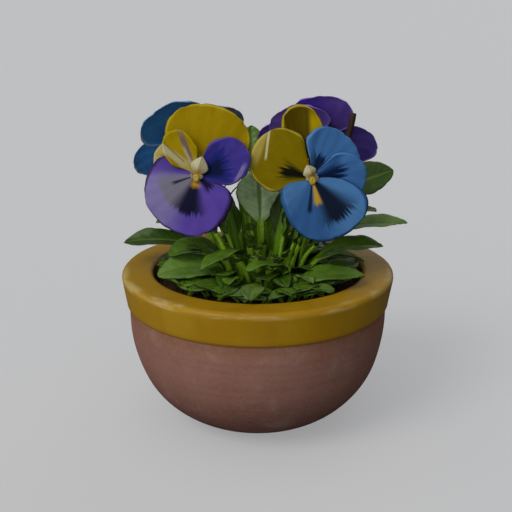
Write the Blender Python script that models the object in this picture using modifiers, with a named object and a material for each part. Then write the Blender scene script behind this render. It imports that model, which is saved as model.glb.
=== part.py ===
"""A bowl of pansies: a turned clay bowl with a thick collar, potting soil, leaves and four large blooms.

Everything is in metres, +Z up, with the origin at the middle of the bowl's flat foot. The
viewer who stands in front of the planter looks along +Y and has +X on the right.
"""

import math

import bmesh
import bpy
from mathutils import Matrix, Vector

# The bowl. Its outside is half of a superellipse, which is rounder at the shoulder than a circle.
COLLAR_RADIUS = 0.080
POT_HEIGHT = 0.092
COLLAR_HEIGHT = 0.245 * COLLAR_RADIUS
COLLAR_FOOT_RADIUS = 0.970 * COLLAR_RADIUS
MOUTH_RADIUS = 0.775 * COLLAR_RADIUS
SHOULDER_RADIUS = 0.955 * COLLAR_RADIUS
FOOT_RADIUS = 0.42 * COLLAR_RADIUS
BOWL_SQUARENESS = 2.45
FOOT_CROWDING = 1.4
BOWL_WALL = 0.0085
FLOOR_THICKNESS = 0.008
COLLAR_ROUNDING = 0.0028
LEDGE_DROP = 0.6
DRAIN_HOLES = 3
DRAIN_RADIUS = 0.0050
DRAIN_CIRCLE = 0.018
TURNING_STEPS = 48

# The soil fills the bowl to a finger's width under the collar's top.
SOIL_EDGE_DROP = 0.0085
SOIL_CROWN = 0.0030

# Meshes hold 32-bit numbers, so pieces that touch keep this much air between them.
GAP = 0.0003

# A leaf follows a cubic curve whose inner points are these shares of its reach.
LEAF_THICKNESS = 0.0011
PETIOLE_HALF_WIDTH = 0.0021
LEAF_RISE = 0.55
LEAF_LEAN = 0.10
LEAF_SHOULDER = 0.62
LEAF_TROUGH = 0.18
STEEP_ROLL = 45
BLADE_WIDEST = 1.15
BLADE_ROUNDNESS = 0.62
LEAF_ROWS = 9
LEAF_COLUMNS = 4

# A petal narrows to a claw, which is this share of its width and ends at this share of its length.
PETAL_THICKNESS = 0.0008
PETAL_CELLS = 6
PETAL_STANDOFF = 0.0034
CLAW_WIDTH = 0.34
CLAW_END = 0.42
LIP_LOBE = 0.45

# The calyx is a funnel of rings (radius, height behind the face) with five pointed sepals.
CALYX_RINGS = ((0.0018, -0.0106), (0.0030, -0.0082), (0.0034, -0.0070))
CALYX_THICKNESS = 0.0008
SEPALS = 5
SEPAL_SIDES = 4
SEPAL_ROOT = 0.0042
SEPAL_TIP = 0.0100
SEPAL_DEPTH = 0.0068
SEPAL_DROOP = 0.0012
SEPAL_SHARPNESS = 1.5

# A stem rises from the soil, then hooks over into the back of the calyx.
STEM_RADIUS = 0.0020
STEM_POINTS = 12
STEM_FOOT = 0.0006
STEM_END = 0.0114
STEM_HOOK = 0.016
STEM_HOOK_RISE = 0.006
STEM_RISE = 0.035

EYE_RADIUS = 0.0022
EYE_STANDOFF = 0.0026

# Each leaf: root on the soil (x, y), tip (x, y, z), blade width, how high it arches, how far
# the blade rolls about its own midrib in degrees, and the petiole's share of the length. All mm.
LEAVES = {
    "leaf_left": ((-20, 1), (-80, 6, 105), 25, 12, -8, 0.34),
    "leaf_left_back": ((-18, 12), (-62, 22, 113), 24, 14, -6, 0.36),
    "leaf_left_mid": ((-14, -9), (-51, -20, 105), 22, 14, -12, 0.28),
    "leaf_left_front": ((-12, -22), (-57, -28, 96), 27, 10, -16, 0.26),
    "leaf_left_low": ((-11, -32), (-36, -48, 94), 13, 5, -10, 0.30),
    "leaf_front_left": ((1, -17), (-31, -41, 103), 18, 18, 10, 0.34),
    "leaf_front_low": ((-1, -33), (-4, -67, 95), 14, 6, 0, 0.32),
    "leaf_front_mid": ((21, -28), (-6, -42, 103), 18, 12, 0, 0.26),
    "leaf_front_right": ((14, -37), (60, -35, 98), 21, 7, 6, 0.24),
    "leaf_front_right_low": ((16, -46), (42, -48, 94), 11, 4, 6, 0.22),
    "leaf_right": ((27, -8), (74, -2, 105), 20, 11, 8, 0.30),
    "leaf_right_mid": ((25, -23), (61, -19, 101), 11, 15, 0, 0.34),
    "leaf_right_high": ((24, 8), (88, 0, 119), 20, 12, 8, 0.40),
    "leaf_right_back": ((22, 18), (74, 34, 118), 18, 14, 0, 0.44),
    "leaf_right_tall": ((16, 24), (84, 39, 142), 27, 12, 33, 0.50),
    "leaf_centre": ((2, 2), (0, 9, 150), 30, 6, 0, 0.34),
    "leaf_centre_back": ((-3, 22), (-4, 44, 169), 18, 8, 0, 0.56),
    "leaf_centre_left": ((-8, -2), (-19, 2, 135), 16, 6, 10, 0.34),
    "leaf_inner_left": ((-14, 5), (-38, 14, 129), 22, 8, 0, 0.40),
    "leaf_blade_right": ((11, -4), (14, -1, 138), 11, 5, 60, 0.30),
    "leaf_back_left": ((-18, 22), (-54, 52, 108), 24, 12, 0, 0.38),
    "leaf_back_mid_left": ((-9, 29), (-24, 70, 102), 22, 12, 0, 0.36),
    "leaf_back": ((2, 31), (6, 73, 106), 24, 14, 0, 0.36),
    "leaf_back_right": ((11, 30), (38, 66, 101), 22, 12, 0, 0.34),
    "leaf_back_inner": ((6, 15), (14, 46, 128), 24, 12, 0, 0.44),
    "leaf_back_far_right": ((21, 28), (62, 52, 109), 20, 11, 0, 0.38),
}

# A petal: angle round the face (0 is the viewer's right, 90 up), length, width, fold across
# (degrees of arc, edges forward), curl along (degrees, tip forward), tilt forward, and how far
# it sits in front of the face plane. Lengths in mm.
LEFT_FACE = {
    "petal_top": (79, 36, 49, -16, 8, -4, -2.2),
    "petal_top_folded": (124, 25, 19, 110, 0, 10, 0.2),
    "petal_side_left": (154, 25, 23, 0, 0, 0, -5.4),
    "petal_side_right": (27, 28, 26, 25, -10, 6, 0.2),
    "petal_lip": (242, 31, 51, -20, -34, 14, 1.2),
}
RIGHT_FACE = {
    "petal_top_folded": (98, 38, 26, 86, 0, -2, -5.4),
    "petal_top": (45, 28, 35, 12, -6, 0, -0.2),
    "petal_side_left": (149, 33, 36, 12, -12, 4, -0.4),
    "petal_side_right": (3, 28, 25, 14, -10, 6, 0.8),
    "petal_lip": (291, 33, 45, 40, -12, 20, 2.2),
}
BACK_RIGHT_FACE = {
    "petal_top_left": (96, 36, 38, -20, -8, -2, -1.8),
    "petal_top_right": (60, 33, 38, -20, -8, -4, -3.6),
    "petal_side_left": (192, 33, 30, 20, -12, 4, -0.4),
    "petal_side_right": (4, 33, 25, 20, -12, 4, -0.4),
    "petal_lip": (270, 30, 40, 20, -30, 14, 1.2),
}
BACK_LEFT_FACE = {
    "petal_top_left": (130, 35, 32, -20, -8, -2, -3.8),
    "petal_top_right": (58, 37, 43, -20, -8, -4, -1.8),
    "petal_side_left": (196, 30, 28, 20, -12, 4, -0.4),
    "petal_side_right": (-29, 33, 28, 20, -12, 4, -0.4),
    "petal_lip": (270, 30, 40, 20, -30, 14, 1.2),
}

# Each bloom: middle of the face (mm), the way it faces (degrees round from +X, degrees up),
# its root on the soil (mm) and its petals.
BLOOMS = {
    "left": ((-33, -30, 154.5), (-97, 14), (-9, -12), LEFT_FACE),
    "right": ((29.5, -28, 152.5), (-82, 14), (9, -10), RIGHT_FACE),
    "back_right": ((36, 24, 164.5), (84, 32), (13, 13), BACK_RIGHT_FACE),
    "back_left": ((-41, 20, 163.5), (108, 30), (-12, 13), BACK_LEFT_FACE),
}

# The finish of each petal.
PETAL_COLOURS = {
    "left": {
        "petal_top": "petal_yellow",
        "petal_top_folded": "petal_yellow",
        "petal_side_left": "petal_yellow",
        "petal_side_right": "petal_purple",
        "petal_lip": "petal_purple",
    },
    "right": {
        "petal_top_folded": "petal_yellow",
        "petal_top": "petal_blue",
        "petal_side_left": "petal_yellow",
        "petal_side_right": "petal_blue",
        "petal_lip": "petal_blue",
    },
    "back_right": dict.fromkeys(BACK_RIGHT_FACE, "petal_purple"),
    "back_left": {
        "petal_top_left": "petal_purple",
        "petal_top_right": "petal_blue",
        "petal_side_left": "petal_purple",
        "petal_side_right": "petal_blue",
        "petal_lip": "petal_blue",
    },
}

MILLIMETRE = 0.001


def clear_scene():
    for old in list(bpy.data.objects):
        bpy.data.objects.remove(old, do_unlink=True)


def collection(name):
    made = bpy.data.collections.new(name)
    bpy.context.scene.collection.children.link(made)
    return made


def material(name, colour, roughness):
    made = bpy.data.materials.new(name)
    made.use_nodes = True
    made.diffuse_color = (*colour, 1)
    shader = made.node_tree.nodes["Principled BSDF"]
    shader.inputs["Base Color"].default_value = (*colour, 1)
    shader.inputs["Roughness"].default_value = roughness
    shader.inputs["Metallic"].default_value = 0
    return made


def add_object(name, data, group, finish):
    made = bpy.data.objects.new(name, data)
    group.objects.link(made)
    if finish:
        data.materials.append(finish)
    return made


def smooth_step(low, high, value):
    share = min(1.0, max(0.0, (value - low) / (high - low)))
    return share * share * (3 - 2 * share)


# ---- The bowl -------------------------------------------------------------------------


def bowl_radius(height, wall=0.0):
    """Radius of the bowl's skin, or of its inside a wall's thickness in, at a height."""
    shoulder = POT_HEIGHT - COLLAR_HEIGHT
    foot_share = (FOOT_RADIUS / SHOULDER_RADIUS) ** BOWL_SQUARENESS
    depth = shoulder / (1 - foot_share) ** (1 / BOWL_SQUARENESS)
    drop = max(0.0, (shoulder - height) / (depth - wall))
    return (SHOULDER_RADIUS - wall) * max(0.0, 1 - drop**BOWL_SQUARENESS) ** (1 / BOWL_SQUARENESS)


def arc(centre, radius, start, end, steps):
    """Points (r, z) on a quarter or other arc, angles in degrees."""
    for step in range(steps + 1):
        angle = math.radians(start + (end - start) * step / steps)
        yield centre[0] + radius * math.cos(angle), centre[1] + radius * math.sin(angle)


def spin(name, profile, group, finish):
    """A turned solid from a profile of (r, z) points that runs down its outer side."""
    outline = bmesh.new()
    points = [outline.verts.new((radius, 0, height)) for radius, height in profile]
    for first, second in zip(points, points[1:]):
        outline.edges.new((first, second))
    mesh = bpy.data.meshes.new(name)
    outline.to_mesh(mesh)
    outline.free()
    made = add_object(name, mesh, group, finish)
    screw = made.modifiers.new("turn", "SCREW")
    screw.steps = screw.render_steps = TURNING_STEPS
    screw.use_merge_vertices = True
    screw.merge_threshold = 0.00001
    screw.use_smooth_shade = True
    return made


def inside_profile(gap=0.0):
    """The bowl's inner wall from its floor's edge up to the collar, a gap inside the clay."""
    shoulder = POT_HEIGHT - COLLAR_HEIGHT
    steps = 8
    points = []
    for step in range(steps + 1):
        height = FLOOR_THICKNESS + gap + (shoulder - FLOOR_THICKNESS) * step / steps
        points.append((bowl_radius(height, BOWL_WALL) - gap, height))
    return points


def make_pot(group, cutters, finish):
    """One turned clay body: inside wall, collar, outside wall and flat foot."""
    top = POT_HEIGHT
    shoulder = top - COLLAR_HEIGHT
    rounding = COLLAR_ROUNDING
    profile = [(0, FLOOR_THICKNESS)] + inside_profile()
    profile.append((MOUTH_RADIUS, top - LEDGE_DROP * COLLAR_HEIGHT))
    profile += arc((MOUTH_RADIUS + rounding, top - rounding), rounding, 180, 90, 2)
    profile += arc((COLLAR_RADIUS - rounding, top - rounding), rounding, 90, 0, 3)
    profile += arc((COLLAR_FOOT_RADIUS - rounding / 2, shoulder + rounding / 2), rounding / 2, 0, -90, 2)
    outside_steps = 9
    for step in range(outside_steps + 1):
        height = shoulder * (1 - step / outside_steps) ** FOOT_CROWDING
        profile.append((bowl_radius(height), height))
    profile.append((0, 0))
    pot = spin("pot", profile, group, finish)
    for hole in range(DRAIN_HOLES):
        angle = 2 * math.pi * hole / DRAIN_HOLES + math.pi / 2
        place = (DRAIN_CIRCLE * math.cos(angle), DRAIN_CIRCLE * math.sin(angle), FLOOR_THICKNESS / 2)
        bpy.ops.mesh.primitive_cylinder_add(
            vertices=16, radius=DRAIN_RADIUS, depth=3 * FLOOR_THICKNESS, location=place
        )
        cutter = bpy.context.object
        cutter.name = f"drain_cutter_{hole + 1}"
        for owner in list(cutter.users_collection):
            owner.objects.unlink(cutter)
        cutters.objects.link(cutter)
        cutter.hide_render = True
        cutter.display_type = "WIRE"
        cut = pot.modifiers.new(cutter.name, "BOOLEAN")
        cut.operation = "DIFFERENCE"
        cut.object = cutter
    return pot


# ---- The soil -------------------------------------------------------------------------


def soil_height(radius):
    """The soil's top: a low dome, lowest where it meets the clay."""
    edge = POT_HEIGHT - SOIL_EDGE_DROP
    share = min(1.0, radius / MOUTH_RADIUS)
    return edge + SOIL_CROWN * (1 - share * share)


def make_soil(group, finish):
    wall = inside_profile(GAP)
    mouth = MOUTH_RADIUS - GAP
    dome_steps = 5
    radii = [mouth * step / dome_steps for step in range(dome_steps + 1)]
    profile = [(radius, soil_height(radius)) for radius in radii]
    profile.append((mouth, POT_HEIGHT - LEDGE_DROP * COLLAR_HEIGHT))
    profile += reversed(wall)
    profile.append((0, FLOOR_THICKNESS + GAP))
    return spin("soil", profile, group, finish)


# ---- Leaves ---------------------------------------------------------------------------


def bezier(corners, share):
    first, second, third, fourth = corners
    left = 1 - share
    return (
        first * left**3
        + second * 3 * left * left * share
        + third * 3 * left * share * share
        + fourth * share**3
    )


def spine_direction(corners, share):
    step = 0.01
    ahead = bezier(corners, min(1.0, share + step))
    behind = bezier(corners, max(0.0, share - step))
    return (ahead - behind).normalized()


def leaf_half_width(share, petiole, width):
    """Half the leaf's width: a narrow petiole, then a spoon-shaped blade with a round tip."""
    if share <= petiole:
        return PETIOLE_HALF_WIDTH
    blade = (share - petiole) / (1 - petiole)
    spoon = max(0.0, math.sin(math.pi * blade**BLADE_WIDEST)) ** BLADE_ROUNDNESS
    return max(PETIOLE_HALF_WIDTH, width / 2 * spoon)


def grid(columns, rows):
    """An open sheet of cells, centred on the origin and 2 units across each way."""
    sheet = bmesh.new()
    bmesh.ops.create_grid(sheet, x_segments=columns, y_segments=rows, size=1)
    return sheet


def thicken(name, sheet, thickness, group, finish):
    mesh = bpy.data.meshes.new(name)
    sheet.to_mesh(mesh)
    sheet.free()
    made = add_object(name, mesh, group, finish)
    solid = made.modifiers.new("thickness", "SOLIDIFY")
    solid.thickness = thickness
    solid.offset = 0
    solid.use_even_offset = False
    mesh.shade_smooth()
    return made


def make_leaf(name, spec, group, finish):
    """A leaf with its petiole: a sheet that follows an arching spine from the soil to the tip."""
    (root_x, root_y), tip, width, arch, roll, petiole = spec
    root = Vector((root_x, root_y, 0)) * MILLIMETRE
    root.z = soil_height(root.xy.length) + GAP
    tip = Vector(tip) * MILLIMETRE
    width *= MILLIMETRE
    reach = tip - root
    heading = Vector((reach.x, reach.y, 0)).normalized()
    rise = Vector((0, 0, LEAF_RISE * reach.z + arch * MILLIMETRE))
    shoulder = root + reach * LEAF_SHOULDER + Vector((0, 0, arch * MILLIMETRE))
    corners = (root, root + rise + heading * LEAF_LEAN * reach.xy.length, shoulder, tip)
    side = Vector((0, 0, 1)).cross(heading)
    sheet = grid(LEAF_COLUMNS, LEAF_ROWS)
    for vertex in sheet.verts:
        across = vertex.co.x
        share = (vertex.co.y + 1) / 2
        middle = bezier(corners, share)
        along = spine_direction(corners, share)
        turn = Matrix.Rotation(math.radians(roll) * smooth_step(0, petiole, share), 3, along)
        flat = turn @ (side - along * side.dot(along)).normalized()
        up = flat.cross(along)
        if up.z < 0 and abs(roll) < STEEP_ROLL:
            up.negate()
        half = leaf_half_width(share, petiole, width)
        trough = LEAF_TROUGH * half * abs(across)
        vertex.co = middle + flat * (half * across) + up * trough
    bmesh.ops.recalc_face_normals(sheet, faces=sheet.faces)
    return thicken(name, sheet, LEAF_THICKNESS, group, finish)


# ---- Blooms ---------------------------------------------------------------------------


def face_frame(middle, facing):
    """The bloom's own frame: +Z out of its face, +Y up in the face, +X to its viewer's right."""
    round_from_x, up_from_level = (math.radians(angle) for angle in facing)
    out = Vector(
        (
            math.cos(up_from_level) * math.cos(round_from_x),
            math.cos(up_from_level) * math.sin(round_from_x),
            math.sin(up_from_level),
        )
    )
    right = Vector((0, 0, 1)).cross(out).normalized()
    up = out.cross(right)
    frame = Matrix((right, up, out)).transposed().to_4x4()
    frame.translation = Vector(middle) * MILLIMETRE
    return frame


def petal_point(across, along, length, width, fold, curl, lobed):
    """A point of a petal that lies along +Y from its claw. across and along run from -1 to 1."""
    round_x = across * math.sqrt(1 - along * along / 2)
    round_y = along * math.sqrt(1 - across * across / 2)
    reach = (round_y + 1) / 2
    claw = 1.0 if lobed else CLAW_WIDTH + (1 - CLAW_WIDTH) * smooth_step(0.0, CLAW_END, reach)
    side = width / 2 * round_x * claw
    if lobed:
        reach -= LIP_LOBE * round_x * round_x * (1 - reach)
    lift = 0.0
    if fold:
        fold_angle = math.radians(fold) * side / width
        radius = width / math.radians(fold)
        side = radius * math.sin(fold_angle)
        lift = radius * (1 - math.cos(fold_angle))
    if not curl:
        return Vector((side, reach * length, lift))
    bend = length / math.radians(curl)
    angle = reach * length / bend
    forward = bend * (1 - math.cos(angle)) + lift * math.cos(angle)
    return Vector((side, (bend - lift) * math.sin(angle), forward))


def make_petal(name, spec, frame, group, finish):
    angle, length, width, fold, curl, tilt, forward = spec
    length *= MILLIMETRE
    width *= MILLIMETRE
    lobed = name.endswith("lip")
    place = (
        frame
        @ Matrix.Rotation(math.radians(angle - 90), 4, "Z")
        @ Matrix.Translation((0, PETAL_STANDOFF, forward * MILLIMETRE))
        @ Matrix.Rotation(math.radians(tilt), 4, "X")
    )
    sheet = grid(PETAL_CELLS, PETAL_CELLS)
    for vertex in sheet.verts:
        across, along = vertex.co.xy
        vertex.co = place @ petal_point(across, along, length, width, fold, curl, lobed)
    bmesh.ops.recalc_face_normals(sheet, faces=sheet.faces)
    return thicken(name, sheet, PETAL_THICKNESS, group, finish)


def make_calyx(name, frame, group, finish):
    """The green cup behind the petals, open like a funnel, with five pointed sepals."""
    cup = bmesh.new()
    rows = len(CALYX_RINGS)
    bmesh.ops.create_grid(cup, x_segments=SEPALS * SEPAL_SIDES, y_segments=rows, size=1)
    for vertex in cup.verts:
        ring = round((vertex.co.y + 1) / 2 * rows)
        angle = math.pi * (vertex.co.x + 1)
        if ring < rows:
            radius, depth = CALYX_RINGS[ring]
        else:
            point = abs(math.cos(SEPALS * angle / 2)) ** SEPAL_SHARPNESS
            radius = SEPAL_ROOT + (SEPAL_TIP - SEPAL_ROOT) * point
            depth = -SEPAL_DEPTH - SEPAL_DROOP * point
        vertex.co = frame @ Vector((radius * math.cos(angle), radius * math.sin(angle), depth))
    bmesh.ops.remove_doubles(cup, verts=cup.verts, dist=0.00001)
    bmesh.ops.recalc_face_normals(cup, faces=cup.faces)
    return thicken(name, cup, CALYX_THICKNESS, group, finish)


def make_eye(name, frame, group, finish):
    """The small round stigma with its beard, in the middle of the face."""
    ball = bmesh.new()
    bmesh.ops.create_uvsphere(ball, u_segments=10, v_segments=6, radius=EYE_RADIUS)
    mesh = bpy.data.meshes.new(name)
    ball.to_mesh(mesh)
    ball.free()
    mesh.shade_smooth()
    made = add_object(name, mesh, group, finish)
    made.matrix_world = frame @ Matrix.Translation((0, 0, EYE_STANDOFF))
    return made


def make_stem(name, root, frame, group, finish):
    """The flower stalk: up from the soil, then hooked over into the back of the calyx."""
    base = Vector((root[0], root[1], 0)) * MILLIMETRE
    base.z = soil_height(base.xy.length) + GAP + STEM_FOOT
    out = (frame.to_3x3() @ Vector((0, 0, 1))).normalized()
    end = frame.translation - out * STEM_END
    behind = end - out * STEM_HOOK + Vector((0, 0, STEM_HOOK_RISE))
    corners = (base, base.lerp(behind, 0.25) + Vector((0, 0, STEM_RISE)), behind, end)
    curve = bpy.data.curves.new(name, "CURVE")
    curve.dimensions = "3D"
    curve.bevel_depth = STEM_RADIUS
    curve.bevel_resolution = 1
    curve.use_fill_caps = True
    route = curve.splines.new("POLY")
    route.points.add(STEM_POINTS - 1)
    for index, point in enumerate(route.points):
        point.co = (*bezier(corners, index / (STEM_POINTS - 1)), 1)
    return add_object(name, curve, group, finish)


def make_bloom(key, spec, group, finishes):
    middle, facing, root, face = spec
    frame = face_frame(middle, facing)
    for petal, shape in face.items():
        finish = finishes[PETAL_COLOURS[key][petal]]
        make_petal(f"bloom_{key}_{petal}", shape, frame, group, finish)
    make_calyx(f"bloom_{key}_calyx", frame, group, finishes["leaf_green"])
    make_eye(f"bloom_{key}_eye", frame, group, finishes["petal_orange"])
    make_stem(f"bloom_{key}_stem", root, frame, group, finishes["stem_green"])


def main():
    clear_scene()
    planter = collection("pansy_planter")
    cutters = collection("cutters")
    finishes = {
        "clay": material("clay", (0.36, 0.17, 0.13), 0.75),
        "soil": material("soil", (0.05, 0.03, 0.02), 0.95),
        "leaf_green": material("leaf_green", (0.05, 0.15, 0.02), 0.45),
        "stem_green": material("stem_green", (0.08, 0.20, 0.02), 0.5),
        "petal_yellow": material("petal_yellow", (0.60, 0.42, 0.01), 0.55),
        "petal_purple": material("petal_purple", (0.12, 0.03, 0.35), 0.55),
        "petal_blue": material("petal_blue", (0.08, 0.20, 0.55), 0.55),
        "petal_orange": material("petal_orange", (0.75, 0.30, 0.02), 0.6),
    }
    make_pot(planter, cutters, finishes["clay"])
    make_soil(planter, finishes["soil"])
    for name, spec in LEAVES.items():
        make_leaf(name, spec, planter, finishes["leaf_green"])
    for key, spec in BLOOMS.items():
        make_bloom(key, spec, planter, finishes)


main()
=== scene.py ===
"""The looks of a bowl of pansies: thrown clay, a brushed glaze, potting soil, leaves and four blooms."""

import math
import random

import bmesh
import bpy
from mathutils import Matrix, Vector, noise


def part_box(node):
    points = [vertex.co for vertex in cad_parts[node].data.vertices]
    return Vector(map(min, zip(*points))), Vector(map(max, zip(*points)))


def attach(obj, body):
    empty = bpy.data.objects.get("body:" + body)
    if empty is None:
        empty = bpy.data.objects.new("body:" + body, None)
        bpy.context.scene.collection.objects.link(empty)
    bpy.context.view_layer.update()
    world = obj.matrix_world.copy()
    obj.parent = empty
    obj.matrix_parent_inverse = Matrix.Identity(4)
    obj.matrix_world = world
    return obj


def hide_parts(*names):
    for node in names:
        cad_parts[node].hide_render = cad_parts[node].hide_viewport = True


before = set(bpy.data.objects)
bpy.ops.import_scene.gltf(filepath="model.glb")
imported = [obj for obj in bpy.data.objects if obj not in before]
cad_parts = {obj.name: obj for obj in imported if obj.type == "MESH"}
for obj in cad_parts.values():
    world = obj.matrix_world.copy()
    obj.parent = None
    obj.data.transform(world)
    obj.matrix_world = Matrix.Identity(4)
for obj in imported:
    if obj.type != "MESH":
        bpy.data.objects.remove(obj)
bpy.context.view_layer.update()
MM = 0.001

# ======================================================================================
# The studio: a large pale floor, a big soft lamp high on the left with weaker ones in front
# and behind, and a dome of grey light. The viewer stands in front and looks down.

EYE_PLACE = Vector((-0.001, -0.5353, 0.2696))
LOOK_DOWN = math.radians(17.72)
LENS_MM = 66.45
FLOOR_HALF = 14.0
FLOOR_COLOUR = (0.42, 0.423, 0.428)
FLOOR_GLOW = 0.55
KEY_FROM = Vector((-0.62, -0.60, 0.80)).normalized()
KEY_STRENGTH = 0.80
KEY_SOFTNESS = math.radians(28)
KEY_COLOUR = (1.0, 0.985, 0.96)
DOME_DARK = 0.07
DOME_BRIGHT = 0.57
DOME_TURN = -0.35
FILL_FROM = Vector((-0.34, -0.90, 0.30)).normalized()
FILL_STRENGTH = 0.42
FILL_SOFTNESS = math.radians(60)
REAR_FROM = Vector((0.45, 0.85, 0.55)).normalized()
REAR_STRENGTH = 0.30
WHITE = (1.0, 1.0, 1.0)
BACKDROP_GREY = (0.515, 0.521, 0.533)

scene = bpy.context.scene
scene.view_settings.view_transform = "Standard"

camera = bpy.data.objects.new("camera", bpy.data.cameras.new("camera"))
camera.location = EYE_PLACE
camera.rotation_euler = (math.pi / 2 - LOOK_DOWN, 0, 0)
camera.data.lens = LENS_MM
camera.data.clip_end = 100
scene.collection.objects.link(camera)
scene.camera = camera


def soft_lamp(name, origin, strength, softness, colour):
    """A far lamp that shines from a direction."""
    lamp = bpy.data.objects.new(name, bpy.data.lights.new(name, "SUN"))
    lamp.data.energy = strength
    lamp.data.angle = softness
    lamp.data.color = colour
    lamp.rotation_euler = origin.to_track_quat("Z", "Y").to_euler()
    scene.collection.objects.link(lamp)


soft_lamp("key", KEY_FROM, KEY_STRENGTH, KEY_SOFTNESS, KEY_COLOUR)
soft_lamp("fill", FILL_FROM, FILL_STRENGTH, FILL_SOFTNESS, WHITE)
soft_lamp("rear", REAR_FROM, REAR_STRENGTH, FILL_SOFTNESS, WHITE)


def make_dome():
    """Grey light from all round, brighter towards the key lamp, and even where it is looked at."""
    world = bpy.data.worlds.new("studio")
    world.use_nodes = True
    tree = world.node_tree
    tree.nodes.clear()
    output = tree.nodes.new("ShaderNodeOutputWorld")
    seen = tree.nodes.new("ShaderNodeLightPath")
    mixed = tree.nodes.new("ShaderNodeMixShader")
    plain = tree.nodes.new("ShaderNodeBackground")
    plain.inputs["Color"].default_value = (*BACKDROP_GREY, 1)
    lit = tree.nodes.new("ShaderNodeBackground")
    place = tree.nodes.new("ShaderNodeTexCoord")
    facing = tree.nodes.new("ShaderNodeVectorMath")
    facing.operation = "DOT_PRODUCT"
    facing.inputs[1].default_value = KEY_FROM
    spread = tree.nodes.new("ShaderNodeMapRange")
    spread.interpolation_type = "SMOOTHSTEP"
    spread.inputs["From Min"].default_value = DOME_TURN
    spread.inputs["From Max"].default_value = 1.0
    spread.inputs["To Min"].default_value = DOME_DARK
    spread.inputs["To Max"].default_value = DOME_BRIGHT
    tree.links.new(place.outputs["Generated"], facing.inputs[0])
    tree.links.new(facing.outputs["Value"], spread.inputs["Value"])
    tree.links.new(spread.outputs["Result"], lit.inputs["Strength"])
    tree.links.new(seen.outputs["Is Camera Ray"], mixed.inputs["Fac"])
    tree.links.new(lit.outputs["Background"], mixed.inputs[1])
    tree.links.new(plain.outputs["Background"], mixed.inputs[2])
    tree.links.new(mixed.outputs["Shader"], output.inputs["Surface"])
    return world


scene.world = make_dome()


class Finish:
    """A node material under construction. Each method adds a node and returns its output."""

    def __init__(self, name, roughness):
        self.material = bpy.data.materials.new(name)
        self.material.use_nodes = True
        self.tree = self.material.node_tree
        self.shader = self.tree.nodes["Principled BSDF"]
        self.set("Roughness", roughness)

    def set(self, socket, value):
        self.give(self.shader.inputs[socket], value)

    def give(self, socket, value):
        if isinstance(value, bpy.types.NodeSocket):
            self.tree.links.new(value, socket)
        elif socket.type == "RGBA" and len(value) == 3:
            socket.default_value = (*value, 1)
        else:
            socket.default_value = value

    def node(self, kind, inputs=(), **settings):
        made = self.tree.nodes.new("ShaderNode" + kind)
        for name, value in settings.items():
            setattr(made, name, value)
        for name, value in dict(inputs).items():
            self.give(made.inputs[name], value)
        return made

    def place(self):
        return self.node("TexCoord").outputs["Object"]

    def split(self, vector):
        return self.node("SeparateXYZ", {"Vector": vector}).outputs

    def join(self, x, y, z=0.0):
        return self.node("CombineXYZ", {"X": x, "Y": y, "Z": z}).outputs["Vector"]

    def maths(self, operation, first, second=0.0):
        return self.node("Math", {0: first, 1: second}, operation=operation).outputs["Value"]

    def times(self, first, second):
        return self.maths("MULTIPLY", first, second)

    def less(self, first, second):
        return self.maths("SUBTRACT", first, second)

    def unsigned(self, value):
        """value without its sign."""
        return self.maths("ABSOLUTE", value)

    def stretch(self, vector, scale):
        return self.node("Mapping", {"Vector": vector, "Scale": scale}).outputs["Vector"]

    def cloud(self, vector, scale, detail=3.0, roughness=0.55):
        inputs = {"Vector": vector, "Scale": scale, "Detail": detail, "Roughness": roughness}
        return self.node("TexNoise", inputs).outputs["Fac"]

    def cells(self, vector, scale):
        return self.node("TexVoronoi", {"Vector": vector, "Scale": scale}).outputs["Distance"]

    def between(self, value, low, high, start=0.0, end=1.0):
        """value's way from low to high, eased, as a number from start to end."""
        inputs = {"Value": value, "From Min": low, "From Max": high, "To Min": start, "To Max": end}
        return self.node("MapRange", inputs, interpolation_type="SMOOTHSTEP").outputs["Result"]

    def mix(self, factor, first, second):
        made = self.node("Mix", data_type="RGBA")
        self.give(made.inputs["Factor"], factor)
        self.give(made.inputs[6], first)
        self.give(made.inputs[7], second)
        return made.outputs[2]

    def bump(self, height, strength, distance, below=None):
        inputs = {"Height": height, "Strength": strength, "Distance": distance}
        if below is not None:
            inputs["Normal"] = below
        return self.node("Bump", inputs).outputs["Normal"]


def floor_finish():
    """Matt white card with the faintest tooth."""
    finish = Finish("floor_card", roughness=0.9)
    finish.set("Specular IOR Level", 0.15)
    tooth = finish.cloud(finish.place(), 90.0)
    finish.set("Base Color", finish.mix(tooth, FLOOR_COLOUR, [part * 0.985 for part in FLOOR_COLOUR]))
    finish.set("Emission Color", BACKDROP_GREY)
    finish.set("Emission Strength", FLOOR_GLOW)
    return finish.material


def make_floor():
    sheet = bmesh.new()
    bmesh.ops.create_grid(sheet, x_segments=1, y_segments=1, size=FLOOR_HALF)
    mesh = bpy.data.meshes.new("floor")
    sheet.to_mesh(mesh)
    sheet.free()
    mesh.materials.append(floor_finish())
    floor = bpy.data.objects.new("floor", mesh)
    floor.visible_diffuse = False
    floor.visible_glossy = False
    scene.collection.objects.link(floor)


make_floor()

# ======================================================================================
# The bowl: red earthenware thrown on a wheel, left bare, with a thick rolled collar.
# It is fired once, so the clay is dry, chalky and a little uneven, with three drain holes.

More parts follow.
